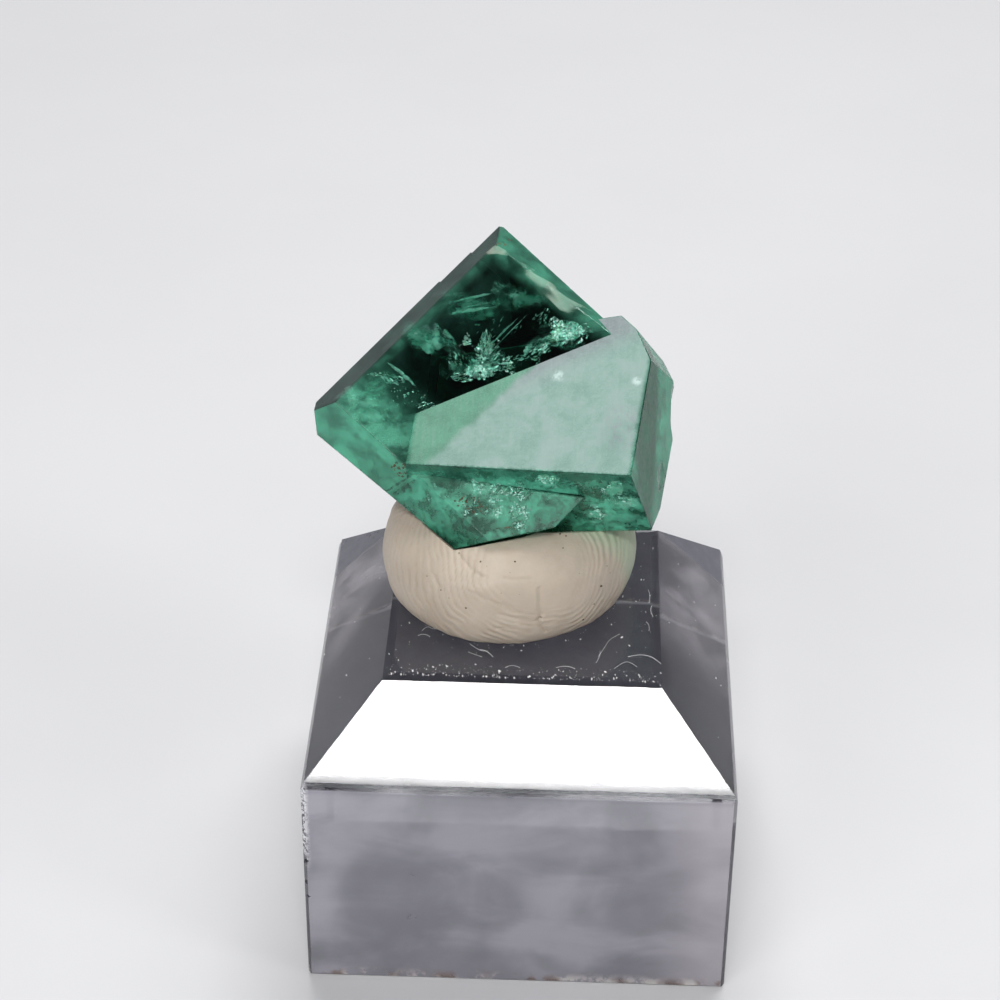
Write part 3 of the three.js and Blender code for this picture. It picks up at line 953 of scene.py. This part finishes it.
# Clusters of bright flakes: face that they show through, image point, half width and half height in
# millimetres, depth behind the face, how many, their size, and the direction of long ones in degrees
FLAKE_CLUSTERS = [
    ("front", 486, 343, 0.36, 0.75, 0.8, 120, 0.19, 78),
    ("front", 492, 352, 0.45, 0.50, 0.9, 80, 0.20, 50),
    ("front", 480, 352, 0.40, 0.50, 0.8, 60, 0.17, 115),
    ("front", 481, 371, 0.90, 0.40, 0.7, 240, 0.15, None),
    ("front", 500, 366, 0.85, 0.30, 0.8, 90, 0.20, 18),
    ("front", 464, 377, 0.75, 0.30, 0.9, 70, 0.18, 8),
    ("front", 467, 341, 0.26, 0.26, 0.6, 34, 0.11, None),
    ("front", 460, 360, 0.90, 0.50, 1.2, 50, 0.15, 130),
    ("front", 567, 331, 0.85, 0.50, 0.9, 200, 0.22, None),
    ("front", 556, 340, 0.80, 0.35, 1.0, 90, 0.22, 25),
    ("front", 585, 331, 0.50, 0.30, 0.9, 60, 0.16, 10),
    ("front", 540, 350, 0.60, 0.30, 0.9, 70, 0.17, 40),
    ("front", 543, 316, 0.60, 0.45, 0.9, 40, 0.12, 60),
    ("front", 524, 358, 1.10, 0.16, 0.9, 50, 0.15, 25),
    ("front", 425, 405, 0.65, 0.18, 0.5, 60, 0.10, 35),
    ("front", 352, 398, 0.20, 0.16, 0.4, 24, 0.10, None),
    ("front", 405, 396, 1.10, 0.60, 0.9, 26, 0.09, None),
    ("front", 394, 380, 0.70, 0.24, 0.9, 50, 0.15, -35),
    ("front", 378, 374, 0.60, 0.18, 0.8, 30, 0.14, -15),
    ("front", 500, 330, 1.60, 0.80, 1.2, 20, 0.16, 48),
    ("front", 460, 255, 1.50, 1.50, 0.3, 16, 0.05, None),
    ("front", 480, 488, 0.70, 0.35, 0.5, 170, 0.15, None),
    ("front", 492, 496, 0.60, 0.35, 0.5, 90, 0.16, 60),
    ("front", 515, 488, 1.20, 0.45, 0.7, 90, 0.22, 38),
    ("front", 470, 506, 0.90, 0.25, 0.5, 70, 0.11, -20),
    ("front", 505, 513, 1.20, 0.30, 0.35, 90, 0.12, None),
    ("front", 540, 500, 1.30, 0.50, 0.7, 60, 0.18, -30),
    ("front", 455, 500, 0.80, 0.35, 0.5, 50, 0.14, -25),
    ("front", 428, 493, 1.00, 0.50, 0.8, 30, 0.15, None),
]
UNDER_CLUSTERS = [
    ("under", 547, 480, 0.70, 0.22, 0.5, 130, 0.20, None),
    ("under", 572, 486, 0.90, 0.30, 0.7, 40, 0.16, 15),
    ("under", 615, 488, 0.45, 0.40, 0.5, 150, 0.15, None),
    ("under", 622, 502, 0.95, 0.32, 0.5, 190, 0.17, None),
    ("under", 599, 514, 0.75, 0.22, 0.35, 120, 0.12, None),
]
# Broad fractures: image point, half length, half height, tilt in the image in degrees, depth
LENSES = [
    (402, 375, 1.35, 0.17, -40, 0.7),
    (387, 380, 0.95, 0.12, -24, 0.7),
    (529, 350, 0.48, 0.28, 55, 0.6),
    (472, 311, 1.75, 0.16, 10, 0.9),
    (474, 306, 1.20, 0.07, 12, 0.8),
    (472, 298, 1.55, 0.12, 13, 1.0),
    (505, 331, 1.30, 0.05, 48, 0.9),
    (511, 331, 1.40, 0.04, 48, 0.9),
    (499, 336, 1.00, 0.04, 50, 0.9),
]


class SPECIMEN_OT_fractures(bpy.types.Operator):
    """Scatter the bright flakes and fractures inside the stone"""

    bl_idname = "specimen.fractures"
    bl_label = "Bright fractures"

    def execute(self, context):
        rng = random.Random(3)
        shine = fracture_material(context.scene.specimen_stone)
        for label, rows, faces in (
            ("main_flakes", FLAKE_CLUSTERS, MAIN_FACES), ("lower_flakes", UNDER_CLUSTERS, SECOND_FACES),
        ):
            bm = bmesh.new()
            for name, x, y, wide, high, depth, count, size, along in rows:
                for _ in range(count):
                    a, r = rng.uniform(0, 2 * math.pi), math.sqrt(rng.random())
                    px = x + math.cos(a) * r * wide * PIXELS_PER_MM
                    py = y - math.sin(a) * r * high * PIXELS_PER_MM
                    at, view = inside(faces, name, px, py, depth * rng.uniform(0.5, 1.5))
                    flake(bm, at, view, size * (0.3 + 1.1 * rng.random() ** 2), rng, along)
            trimmed(bm, faces)
            piece = finished(label, bm, shine)
            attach(piece, "root")

        bm = bmesh.new()
        fade = bm.verts.layers.float.new("fade")
        for number, (x, y, long, high, tilt, depth) in enumerate(LENSES):
            at, view = inside(MAIN_FACES, "front", x, y, depth)
            aim = (-view).to_track_quat("Z", "Y").to_matrix().to_4x4()
            spin = Matrix.Rotation(math.radians(tilt), 4, "Z")
            lean = Euler((0.25, -0.15, 0)).to_matrix().to_4x4()
            made = bmesh.ops.create_grid(bm, x_segments=30, y_segments=10, size=1)
            for v in made["verts"]:
                u, w = v.co.x, v.co.y
                v[fade] = (1 - u * u) * (1 - w * w)
                ragged = noise.noise(Vector((u * 3, number, 2 * (w > 0))))
                ragged += 0.5 * noise.noise(Vector((u * 9, number, w)))
                edge = math.sqrt(max(1 - u * u, 0)) * (0.8 + 0.7 * ragged)
                bend = 0.35 * high * (1 - u * u)
                v.co = Vector((u * long, w * edge * high + bend, 0.25 * high * (u * u - w * w)))
            bmesh.ops.transform(
                bm, matrix=Matrix.Translation(at) @ aim @ spin @ lean, verts=made["verts"]
            )
        trimmed(bm, MAIN_FACES)
        for f in bm.faces:
            f.smooth = True
        film = veil_material("bright_lens", (0.36, 1.0, 0.76), 0.80, 2.6, 0.12, 0.5)
        piece = finished("fracture_lenses", bm, film)
        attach(piece, "root")
        return {"FINISHED"}


# Cloudy films: material, crystal, face, image point, half width, half height, tilt, depth, lean
VEILS = [
    ("pale", MAIN_FACES, "front", 562, 292, 2.1, 0.85, -44, 0.22, (0.03, 0.02)),
    ("pale", MAIN_FACES, "front", 540, 277, 1.5, 0.65, -50, 0.26, (0.03, 0.02)),
    ("pale", MAIN_FACES, "front", 524, 260, 0.9, 0.40, -42, 0.22, (0.03, 0.02)),
    ("pale", MAIN_FACES, "front", 497, 248, 0.9, 0.55, 8, 0.18, (0.0, 0.0)),
    ("bright", MAIN_FACES, "front", 433, 340, 1.10, 0.85, -48, 0.9, (0.1, 0.1)),
    ("bright", MAIN_FACES, "front", 450, 341, 0.80, 0.40, -55, 0.9, (0.1, 0.1)),
    ("green", MAIN_FACES, "front", 472, 306, 2.8, 1.0, 8, 1.5, (0.2, 0.1)),
    ("green", MAIN_FACES, "front", 520, 298, 1.9, 1.2, -20, 1.4, (0.2, 0.2)),
    ("green", MAIN_FACES, "front", 425, 342, 2.4, 1.3, -30, 1.8, (0.2, -0.2)),
    ("green", MAIN_FACES, "front", 556, 338, 2.4, 1.0, 15, 1.3, (0.2, 0.2)),
    ("green", MAIN_FACES, "front", 485, 366, 2.2, 1.1, 5, 1.3, (0.2, 0.1)),
    ("green", MAIN_FACES, "front", 365, 410, 2.4, 1.2, -35, 1.0, (0.1, 0.1)),
    ("green", MAIN_FACES, "front", 370, 395, 2.0, 1.2, 40, 1.4, (0.1, 0.1)),
    ("green", MAIN_FACES, "front", 480, 495, 2.8, 1.2, -10, 0.9, (0.1, 0.1)),
    ("green", MAIN_FACES, "front", 545, 490, 2.6, 1.0, 5, 1.1, (0.2, 0.1)),
    ("green", SECOND_FACES, "under", 612, 500, 2.2, 1.1, 10, 1.0, (0.1, 0.2)),
    ("green", MAIN_FACES, "front", 520, 515, 3.2, 0.8, 0, 0.7, (0.1, 0.1)),
]


class SPECIMEN_OT_veils(bpy.types.Operator):
    """Hang the cloudy films inside the stone"""

    bl_idname = "specimen.veils"
    bl_label = "Cloudy veils"

    def execute(self, context):
        films = {
            "pale": veil_material("pale_veil", (0.95, 0.74, 0.66), 0.95, 0.9, 0.40, 0.6),
            "bright": veil_material("bright_veil", (0.36, 0.98, 0.75), 0.80, 1.4, 0.10, 0.5),
            "green": veil_material("green_veil", (0.24, 0.80, 0.58), 0.78, 1.3, 0.06, 0.8),
        }
        for label, kind, whole in (
            ("pale_veils", "pale", MAIN_FACES), ("bright_veils", "bright", MAIN_FACES),
            ("green_veils", "green", MAIN_FACES), ("lower_veils", "green", SECOND_FACES),
        ):
            bm = bmesh.new()
            fade = bm.verts.layers.float.new("fade")
            rows = [row for row in VEILS if row[0] == kind and row[1] is whole]
            for number, (_, faces, name, x, y, wide, high, tilt, depth, lean) in enumerate(rows):
                at, view = inside(faces, name, x, y, depth)
                aim = (-view).to_track_quat("Z", "Y").to_matrix().to_4x4()
                spin = Matrix.Rotation(math.radians(tilt), 4, "Z")
                tip = Euler((*lean, 0)).to_matrix().to_4x4()
                made = bmesh.ops.create_grid(bm, x_segments=26, y_segments=26, size=1)
                for v in made["verts"]:
                    u, w = v.co.x, v.co.y
                    ragged = 1 + 0.9 * noise.noise(Vector((u * 1.6, w * 1.6, number + 4)))
                    v[fade] = max(0.0, 1 - math.sqrt(u * u + w * w) * ragged)
                    wave = noise.noise(Vector((u * 1.5, w * 1.5, number)))
                    v.co = Vector((u * wide, w * high, 0.5 * depth * wave))
                bmesh.ops.transform(
                    bm, matrix=Matrix.Translation(at) @ aim @ spin @ tip, verts=made["verts"]
                )
            trimmed(bm, whole)
            for f in bm.faces:
                f.smooth = True
            piece = finished(label, bm, films[kind])
            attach(piece, "root")
        return {"FINISHED"}


# Brown and black grains: crystal, face, image point, spread, depth, how many, size
STAINS = [
    (MAIN_FACES, "lower_left", 398, 466, 0.45, 0.03, 40, 0.09),
    (MAIN_FACES, "lower_left", 402, 474, 0.30, 0.03, 20, 0.09),
    (MAIN_FACES, "front", 468, 502, 0.80, 0.03, 40, 0.085),
    (MAIN_FACES, "front", 478, 510, 0.60, 0.03, 24, 0.08),
    (MAIN_FACES, "front", 425, 503, 0.70, 0.03, 20, 0.05),
    (MAIN_FACES, "front", 507, 530, 0.60, 0.03, 16, 0.08),
    (MAIN_FACES, "front", 558, 531, 0.45, 0.03, 16, 0.07),
    (MAIN_FACES, "front", 540, 524, 1.60, 0.03, 14, 0.05),
    (MAIN_FACES, "upper_right", 504, 243, 0.55, 0.03, 22, 0.08),
]


def sticks_out(at):
    """Whether a point isn't at least a fiftieth of a millimetre inside the main crystal."""
    away = at - STONE_CENTRE
    planes = MAIN_FACES.values()
    return any(away.dot(facing(turn, rise)) > distance - 0.02 for turn, rise, distance in planes)


class SPECIMEN_OT_stains(bpy.types.Operator):
    """Sprinkle the brown grains on and in the stone"""

    bl_idname = "specimen.stains"
    bl_label = "Brown grains"

    def execute(self, context):
        rng = random.Random(11)
        bm = bmesh.new()
        for faces, name, x, y, spread, depth, count, size in STAINS:
            for _ in range(count):
                a, r = rng.uniform(0, 2 * math.pi), math.sqrt(rng.random()) * spread * PIXELS_PER_MM
                at, _ = inside(faces, name, x + math.cos(a) * r, y + 0.5 * math.sin(a) * r, depth)
                if sticks_out(at):
                    continue
                stretch = stretched(rng, (0.6, 1.6), (0.6, 1.2), (0.4, 1.0))
                bmesh.ops.create_icosphere(
                    bm, subdivisions=1, radius=size * rng.uniform(0.3, 1),
                    matrix=Matrix.Translation(at) @ stretch,
                )
        piece = finished("brown_grains", bm, stain_material())
        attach(piece, "root")
        return {"FINISHED"}


# Finger ridges run round these points: place, and from how far out they begin and are full
RIDGE_CENTRES = [
    ((0.9, -4.2, 25.6), 2.7, 4.0),
    ((-3.0, 9.5, 24.0), 1.5, 3.0),
]
# Creases in the putty's front: image points, half width and depth in millimetres
CREASES = [
    (((540, 588), (540, 600), (542, 616), (539, 622), (543, 629), (546, 633)), 0.07, 0.16),
    (((498, 616), (508, 618), (519, 621), (530, 623), (539, 622)), 0.06, 0.10),
    (((470, 592), (487, 601), (502, 606), (520, 613)), 0.07, 0.07),
    (((458, 552), (464, 561), (472, 570), (483, 577)), 0.05, 0.13),
    (((433, 575), (436, 583), (441, 590)), 0.05, 0.14),
    (((426, 575), (427, 581)), 0.04, 0.08),
    (((504, 577), (516, 579), (530, 578)), 0.06, 0.05),
    (((602, 612), (607, 608), (611, 603)), 0.07, 0.12),
    (((494, 630), (503, 629), (512, 631)), 0.05, 0.10),
]
# Dark specks on the putty: image point and radius in millimetres
SPECKS = [
    (480, 542, 0.10), (480.5, 561.5, 0.055), (515, 561.5, 0.055), (601, 586, 0.085), (583, 619.5, 0.065),
    (466, 608, 0.05), (607, 566, 0.04), (610, 573, 0.035), (441, 590, 0.045), (459, 553, 0.05),
    (427, 576, 0.04), (541, 617, 0.045), (594, 604, 0.04), (449, 598, 0.03), (563, 548, 0.04),
    (560, 534, 0.06), (512, 533, 0.07), (507, 534, 0.06), (566, 536, 0.05), (490, 538, 0.04),
]


def putty_profile(s):
    """Points up the putty's side, in millimetres, from the rim of its foot over the bulge to its top."""
    radius, height = s.width / MM / 2, s.height / MM
    foot = (s.foot_radius / MM / radius, 0)
    stops = [foot, (0.945, 0.08), (1.0, 0.34), (0.95, 0.70), (0.72, 0.95), (0.42, 1)]
    ends = [stops[0], *stops, stops[-1]]
    points = []
    for i in range(1, len(ends) - 2):
        a, b, c, d = (Vector(p) for p in ends[i - 1:i + 3])
        for k in range(24):
            t = k / 24
            second, third = 2 * a - 5 * b + 4 * c - d, 3 * b - a - 3 * c + d
            p = 0.5 * (2 * b + (c - a) * t + second * t**2 + third * t**3)
            points.append((p.x * radius, p.y * height))
    points.append((stops[-1][0] * radius, height))
    return points


def ridges(p, spacing):
    """Height of the finger ridges at a point of the putty, from -1 to 1."""
    warp = noise.noise(p * 0.30) * 0.8 + noise.noise(p * 0.85) * 0.20 + noise.noise(p * 2.4) * 0.08
    worn = 0.60 + 1.1 * noise.noise(p * 0.55 + Vector((7, 3, 1))) + 0.5 * noise.noise(p * 1.9)
    total = 0.0
    for centre, bare, full in RIDGE_CENTRES:
        away = (p - Vector(centre)).length
        here = min(1.0, max(0.0, (away - bare) / (full - bare)))
        here *= min(1.0, max(0.0, (10.5 - away) / 2.0)) * min(1.0, max(0.10, worn))
        total += math.sin(2 * math.pi * (away + warp) / spacing) * here
    return total


def near_line(p, line):
    """How far a point is from a line of points."""
    best = math.inf
    for a, b in zip(line, line[1:]):
        t = min(1.0, max(0.0, (p - a).dot(b - a) / (b - a).length_squared))
        best = min(best, (p - a.lerp(b, t)).length)
    return best


def on_surface(tree, x, y):
    """The point of a surface that shows at the image point x, y, in millimetres."""
    place, _, _, _ = tree.ray_cast(*sight(x, y))
    if place is None:
        raise RuntimeError(f"nothing shows at {x}, {y}")
    return place


def seat_cut(ball):
    """The ball with the room for both crystals cut out of it."""
    for faces in (MAIN_FACES, SECOND_FACES):
        combined(ball, new_object("seat", pressed(faces, 0.04)), "DIFFERENCE")
    return ball


class SPECIMEN_OT_putty(bpy.types.Operator):
    """Spin the ball of putty, press finger ridges into it, and cut the stone's seat"""

    bl_idname = "specimen.putty"
    bl_label = "Mounting putty"

    def execute(self, context):
        s = context.scene.specimen_putty
        middle = PUTTY_PLACE
        bm = bmesh.new()
        rim = [bm.verts.new((r, 0, z)) for r, z in putty_profile(s)]
        rim = [bm.verts.new((0, 0, 0))] + rim + [bm.verts.new((0, 0, s.height / MM))]
        edges = [bm.edges.new(pair) for pair in zip(rim, rim[1:])]
        bmesh.ops.spin(
            bm, geom=rim + edges, cent=(0, 0, 0), axis=(0, 0, 1), angle=2 * math.pi, steps=340,
            use_merge=True,
        )
        bmesh.ops.remove_doubles(bm, verts=bm.verts, dist=1e-4)
        bmesh.ops.recalc_face_normals(bm, faces=bm.faces)
        squash = s.depth / s.width
        for v in bm.verts:
            v.co.y *= squash
            angle = math.atan2(v.co.y, v.co.x)
            lobe = math.sin(2 * angle + 0.6) + 0.6 * math.sin(3 * angle)
            swell = 1 + lobe * 0.2 / (s.width / MM / 2)
            v.co.x *= swell
            v.co.y *= swell
        bmesh.ops.translate(bm, vec=middle, verts=bm.verts)
        bm.normal_update()
        tree = BVHTree.FromBMesh(bm)
        creases = [([on_surface(tree, *at) for at in line], wide, deep) for line, wide, deep in CREASES]
        moves = []
        for v in bm.verts:
            side = min(1.0, max(0.0, (v.co.z - BLOCK_TOP) / 0.5))
            height = 0.036 * ridges(v.co, s.ridge_spacing / MM) - 0.08
            height += noise.noise(v.co * 0.45) * 0.10 + noise.noise(v.co * 1.3) * 0.03
            if v.co.y < middle.y:
                for line, wide, deep in creases:
                    height -= deep * math.exp(-(near_line(v.co, line) / wide) ** 2)
            moves.append(v.normal * height * side)
        for v, move in zip(bm.verts, moves):
            v.co += move
        ball = seat_cut(new_object("putty_ball", bm))
        bm = bmesh.new()
        bm.from_mesh(ball.data)
        bpy.data.objects.remove(ball)
        bmesh.ops.remove_doubles(bm, verts=bm.verts, dist=1e-4)
        largest_island(bm)
        for f in bm.faces:
            f.smooth = f.calc_area() < 0.1
        press = bm.verts.layers.float.new("press")
        for v in bm.verts:
            v[press] = ridges(v.co, s.ridge_spacing / MM)
            for line, wide, _ in creases:
                v[press] -= 1.5 * math.exp(-(near_line(v.co, line) / (1.5 * wide)) ** 2)

        tree = BVHTree.FromBMesh(bm)
        rng = random.Random(2)
        grains = bmesh.new()
        for x, y, radius in SPECKS:
            stretch = stretched(rng, (0.8, 1.3), (0.8, 1.2), (0.6, 0.9))
            bmesh.ops.create_icosphere(
                grains, subdivisions=2, radius=radius,
                matrix=Matrix.Translation(on_surface(tree, x, y)) @ stretch,
            )
        specks = finished("putty_specks", grains, stain_material())
        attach(specks, "root")

        piece = finished("mounting_putty_ball", bm, putty_material(s))
        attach(piece, "root")
        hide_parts("mounting_putty")
        return {"FINISHED"}


class SPECIMEN_OT_block(bpy.types.Operator):
    """Give the block its clear acrylic"""

    bl_idname = "specimen.block"
    bl_label = "Acrylic block"

    def execute(self, context):
        s = context.scene.specimen_block
        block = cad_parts["acrylic_base"]
        material = acrylic_material(s)
        for slot in block.material_slots:
            slot.material = material
        return {"FINISHED"}


# Fibres on the block's top: image points along each one, and its radius in millimetres
FIBRES = [
    (((422, 631), (427, 627), (433, 631), (437, 629)), 0.015),
    (((418, 636), (424, 634), (430, 637)), 0.015),
    (((470, 644), (476, 650), (483, 653), (488, 651)), 0.015),
    (((480, 650), (486, 651), (493, 657)), 0.020),
    (((468, 652), (474, 656), (482, 657)), 0.012),
    (((598, 657), (604, 650), (608, 643), (614, 638), (620, 634)), 0.015),
    (((596, 663), (601, 657), (600, 651)), 0.016),
    (((628, 657), (637, 656), (646, 657), (654, 659), (661, 664)), 0.017),
    (((614, 669), (622, 664), (630, 663), (637, 667)), 0.012),
    (((648, 590), (651, 596), (649, 603)), 0.014),
    (((652, 606), (649, 611), (653, 617)), 0.016),
    (((646, 622), (650, 626), (649, 631)), 0.014),
    (((505, 668), (512, 665), (520, 668)), 0.012),
    (((556, 668), (566, 666), (575, 669)), 0.016),
]


def fibre(bm, points, radius):
    """A thin bent thread through some points."""
    curve = bpy.data.curves.new("fibre", "CURVE")
    curve.dimensions = "3D"
    curve.bevel_depth = radius
    curve.bevel_resolution = 1
    curve.use_fill_caps = True
    spline = curve.splines.new("NURBS")
    spline.points.add(len(points) - 1)
    for knot, at in zip(spline.points, points):
        knot.co = (*at, 1)
    spline.order_u = 3
    spline.use_endpoint_u = True
    thread = bpy.data.objects.new("fibre", curve)
    bpy.context.scene.collection.objects.link(thread)
    graph = bpy.context.evaluated_depsgraph_get()
    bm.from_mesh(bpy.data.meshes.new_from_object(thread.evaluated_get(graph)))
    bpy.data.objects.remove(thread)


class SPECIMEN_OT_dust(bpy.types.Operator):
    """Scatter dust and a few fibres on the block's top, its bevels and the putty's foot"""

    bl_idname = "specimen.dust"
    bl_label = "Dust and lint"

    def execute(self, context):
        s = context.scene.specimen_block
        rng = random.Random(5)
        bevel = BLOCK_TOP - BEVEL_FOOT
        half_top = BLOCK_HALF - bevel
        lying = BLOCK_TOP + 0.015
        bm = bmesh.new()
        for _ in range(s.dust_count):
            kind = rng.random()
            if kind < 0.45:
                deep = -half_top + 0.03 + 1.1 * rng.random() ** 2
                at = Vector((rng.uniform(-1, 1) * half_top, deep, lying))
            elif kind < 0.80:
                at = Vector((rng.uniform(-1, 1) * half_top, rng.uniform(-1, 1) * half_top, lying))
            elif kind < 0.92:
                angle = rng.uniform(0, 2 * math.pi)
                out = 6.7 + 0.5 * rng.random() ** 2
                at = PUTTY_PLACE + Vector((math.cos(angle) * out, math.sin(angle) * out * 0.96, 0.015))
            else:
                drop = bevel * rng.random()
                side = rng.choice((-1, 1))
                half = half_top + drop
                at = Vector((side * half, rng.uniform(-1, 1) * half, BLOCK_TOP - drop))
            size = 0.015 + 0.055 * rng.random() ** 4
            turn = turned(rng)
            bmesh.ops.create_icosphere(
                bm, subdivisions=1, radius=size,
                matrix=Matrix.Translation(at) @ turn @ Matrix.Diagonal((1.5, 0.8, 0.6, 1)),
            )
        for line, radius in FIBRES:
            lifted = [
                on_top(*at) + Vector((0, 0, radius + 0.12 * math.sin(math.pi * i / (len(line) - 1))))
                for i, at in enumerate(line)
            ]
            fibre(bm, lifted, radius * 0.7)
        piece = finished("dust", bm, dust_material())
        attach(piece, "root")
        return {"FINISHED"}


def soft_light(name, toward, distance, size, power, colour=(1, 1, 1), target=(0, 0, 22)):
    """A square soft light that stands in a direction from the specimen and looks at it."""
    aim = facing(*toward)
    data = bpy.data.lights.new(name, "AREA")
    data.shape = "RECTANGLE"
    data.size, data.size_y = size
    data.energy = power
    data.color = colour
    lamp = bpy.data.objects.new(name, data)
    lamp.location = Vector(target) * MM + aim * distance
    lamp.rotation_euler = aim.to_track_quat("Z", "Y").to_euler()
    bpy.context.scene.collection.objects.link(lamp)
    return lamp


class SPECIMEN_OT_stage(bpy.types.Operator):
    """Lay the pale floor, hang the soft lights and set the camera"""

    bl_idname = "specimen.stage"
    bl_label = "Floor, lights and camera"

    def execute(self, context):
        s = context.scene.specimen_stage
        bm = bmesh.new()
        bmesh.ops.create_grid(
            bm, x_segments=1, y_segments=1, size=3000, matrix=Matrix.Translation((0, 0, -0.04))
        )
        floor = finished("pale_floor", bm, floor_material(s))

        context.scene.world = bpy.data.worlds.new("studio")
        m = Maker(context.scene.world)
        sky = m.node("ShaderNodeTexCoord", out="Generated")
        height = m.node("ShaderNodeSeparateXYZ", out="Z", _0=sky)
        colour = m.mixed(m.between(height, 0.1, 0.8), (0.86, 0.86, 0.93), (0.20, 0.20, 0.23))
        light = m.node("ShaderNodeBackground", Color=colour, Strength=s.room_light)
        m.node("ShaderNodeOutputWorld", Surface=light)

        soft_light("overhead", (80, 66), 0.42, (0.30, 0.22), 1.7)
        soft_light("front_fill", (-125, 24), 0.60, (0.30, 0.30), 1.3)
        soft_light("right_edge", (-25, 30), 0.60, (0.16, 0.30), 0.6)

        right, up, back, place = camera_axes(s)
        data = bpy.data.cameras.new("camera")
        data.lens = s.lens
        data.sensor_width = 36
        data.clip_start = 0.005
        camera = bpy.data.objects.new("camera", data)
        camera.matrix_world = Matrix.Translation(place) @ Matrix((right, up, back)).transposed().to_4x4()
        context.scene.collection.objects.link(camera)
        context.scene.camera = camera

        # A long soft light that the block's front bevel mirrors to the camera
        bevel = Vector((0, -BLOCK_HALF + BEVEL_MIDDLE, BLOCK_TOP - BEVEL_MIDDLE)) * MM
        normal = facing(-90, 45)
        look = (place - bevel).normalized()
        mirrored = 2 * look.dot(normal) * normal - look
        strip = soft_light("bevel_light", (0, 90), 0, (0.20, 0.075), 1.6)
        strip.location = bevel + mirrored * 0.6
        strip.rotation_euler = mirrored.to_track_quat("Z", "Y").to_euler()

        cycles = context.scene.cycles
        cycles.use_denoising = True
        cycles.max_bounces = 24
        cycles.transmission_bounces = 20
        cycles.transparent_max_bounces = 24
        cycles.sample_clamp_indirect = 6
        context.scene.view_settings.view_transform = "Standard"
        return {"FINISHED"}


class SPECIMEN_PT_panel(bpy.types.Panel):
    """Everything that the specimen is made of"""

    bl_idname = "SPECIMEN_PT_panel"
    bl_label = "Fluorite specimen"
    bl_space_type = "VIEW_3D"
    bl_region_type = "UI"
    bl_category = "Specimen"

    def draw(self, context):
        for group in (
            context.scene.specimen_stone, context.scene.specimen_putty, context.scene.specimen_block,
            context.scene.specimen_stage,
        ):
            box = self.layout.box()
            for name in group.__annotations__:
                box.prop(group, name)
        for operator in OPERATORS:
            self.layout.operator(operator.bl_idname)


SETTINGS = {
    "specimen_stone": StoneSettings,
    "specimen_putty": PuttySettings,
    "specimen_block": BlockSettings,
    "specimen_stage": StageSettings,
}
OPERATORS = (
    SPECIMEN_OT_stage, SPECIMEN_OT_block, SPECIMEN_OT_putty, SPECIMEN_OT_stone, SPECIMEN_OT_fractures,
    SPECIMEN_OT_veils, SPECIMEN_OT_stains, SPECIMEN_OT_dust,
)


def register():
    for cls in (*SETTINGS.values(), *OPERATORS, SPECIMEN_PT_panel):
        bpy.utils.register_class(cls)
    for name, cls in SETTINGS.items():
        setattr(bpy.types.Scene, name, PointerProperty(type=cls))


def unregister():
    for name in SETTINGS:
        delattr(bpy.types.Scene, name)
    for cls in (SPECIMEN_PT_panel, *reversed(OPERATORS), *reversed(SETTINGS.values())):
        bpy.utils.unregister_class(cls)


def main():
    register()
    bpy.ops.specimen.stage()
    bpy.ops.specimen.block()
    bpy.ops.specimen.putty()
    bpy.ops.specimen.stone()
    bpy.ops.specimen.fractures()
    bpy.ops.specimen.veils()
    bpy.ops.specimen.stains()
    bpy.ops.specimen.dust()
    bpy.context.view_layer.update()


if __name__ == "__main__":
    main()
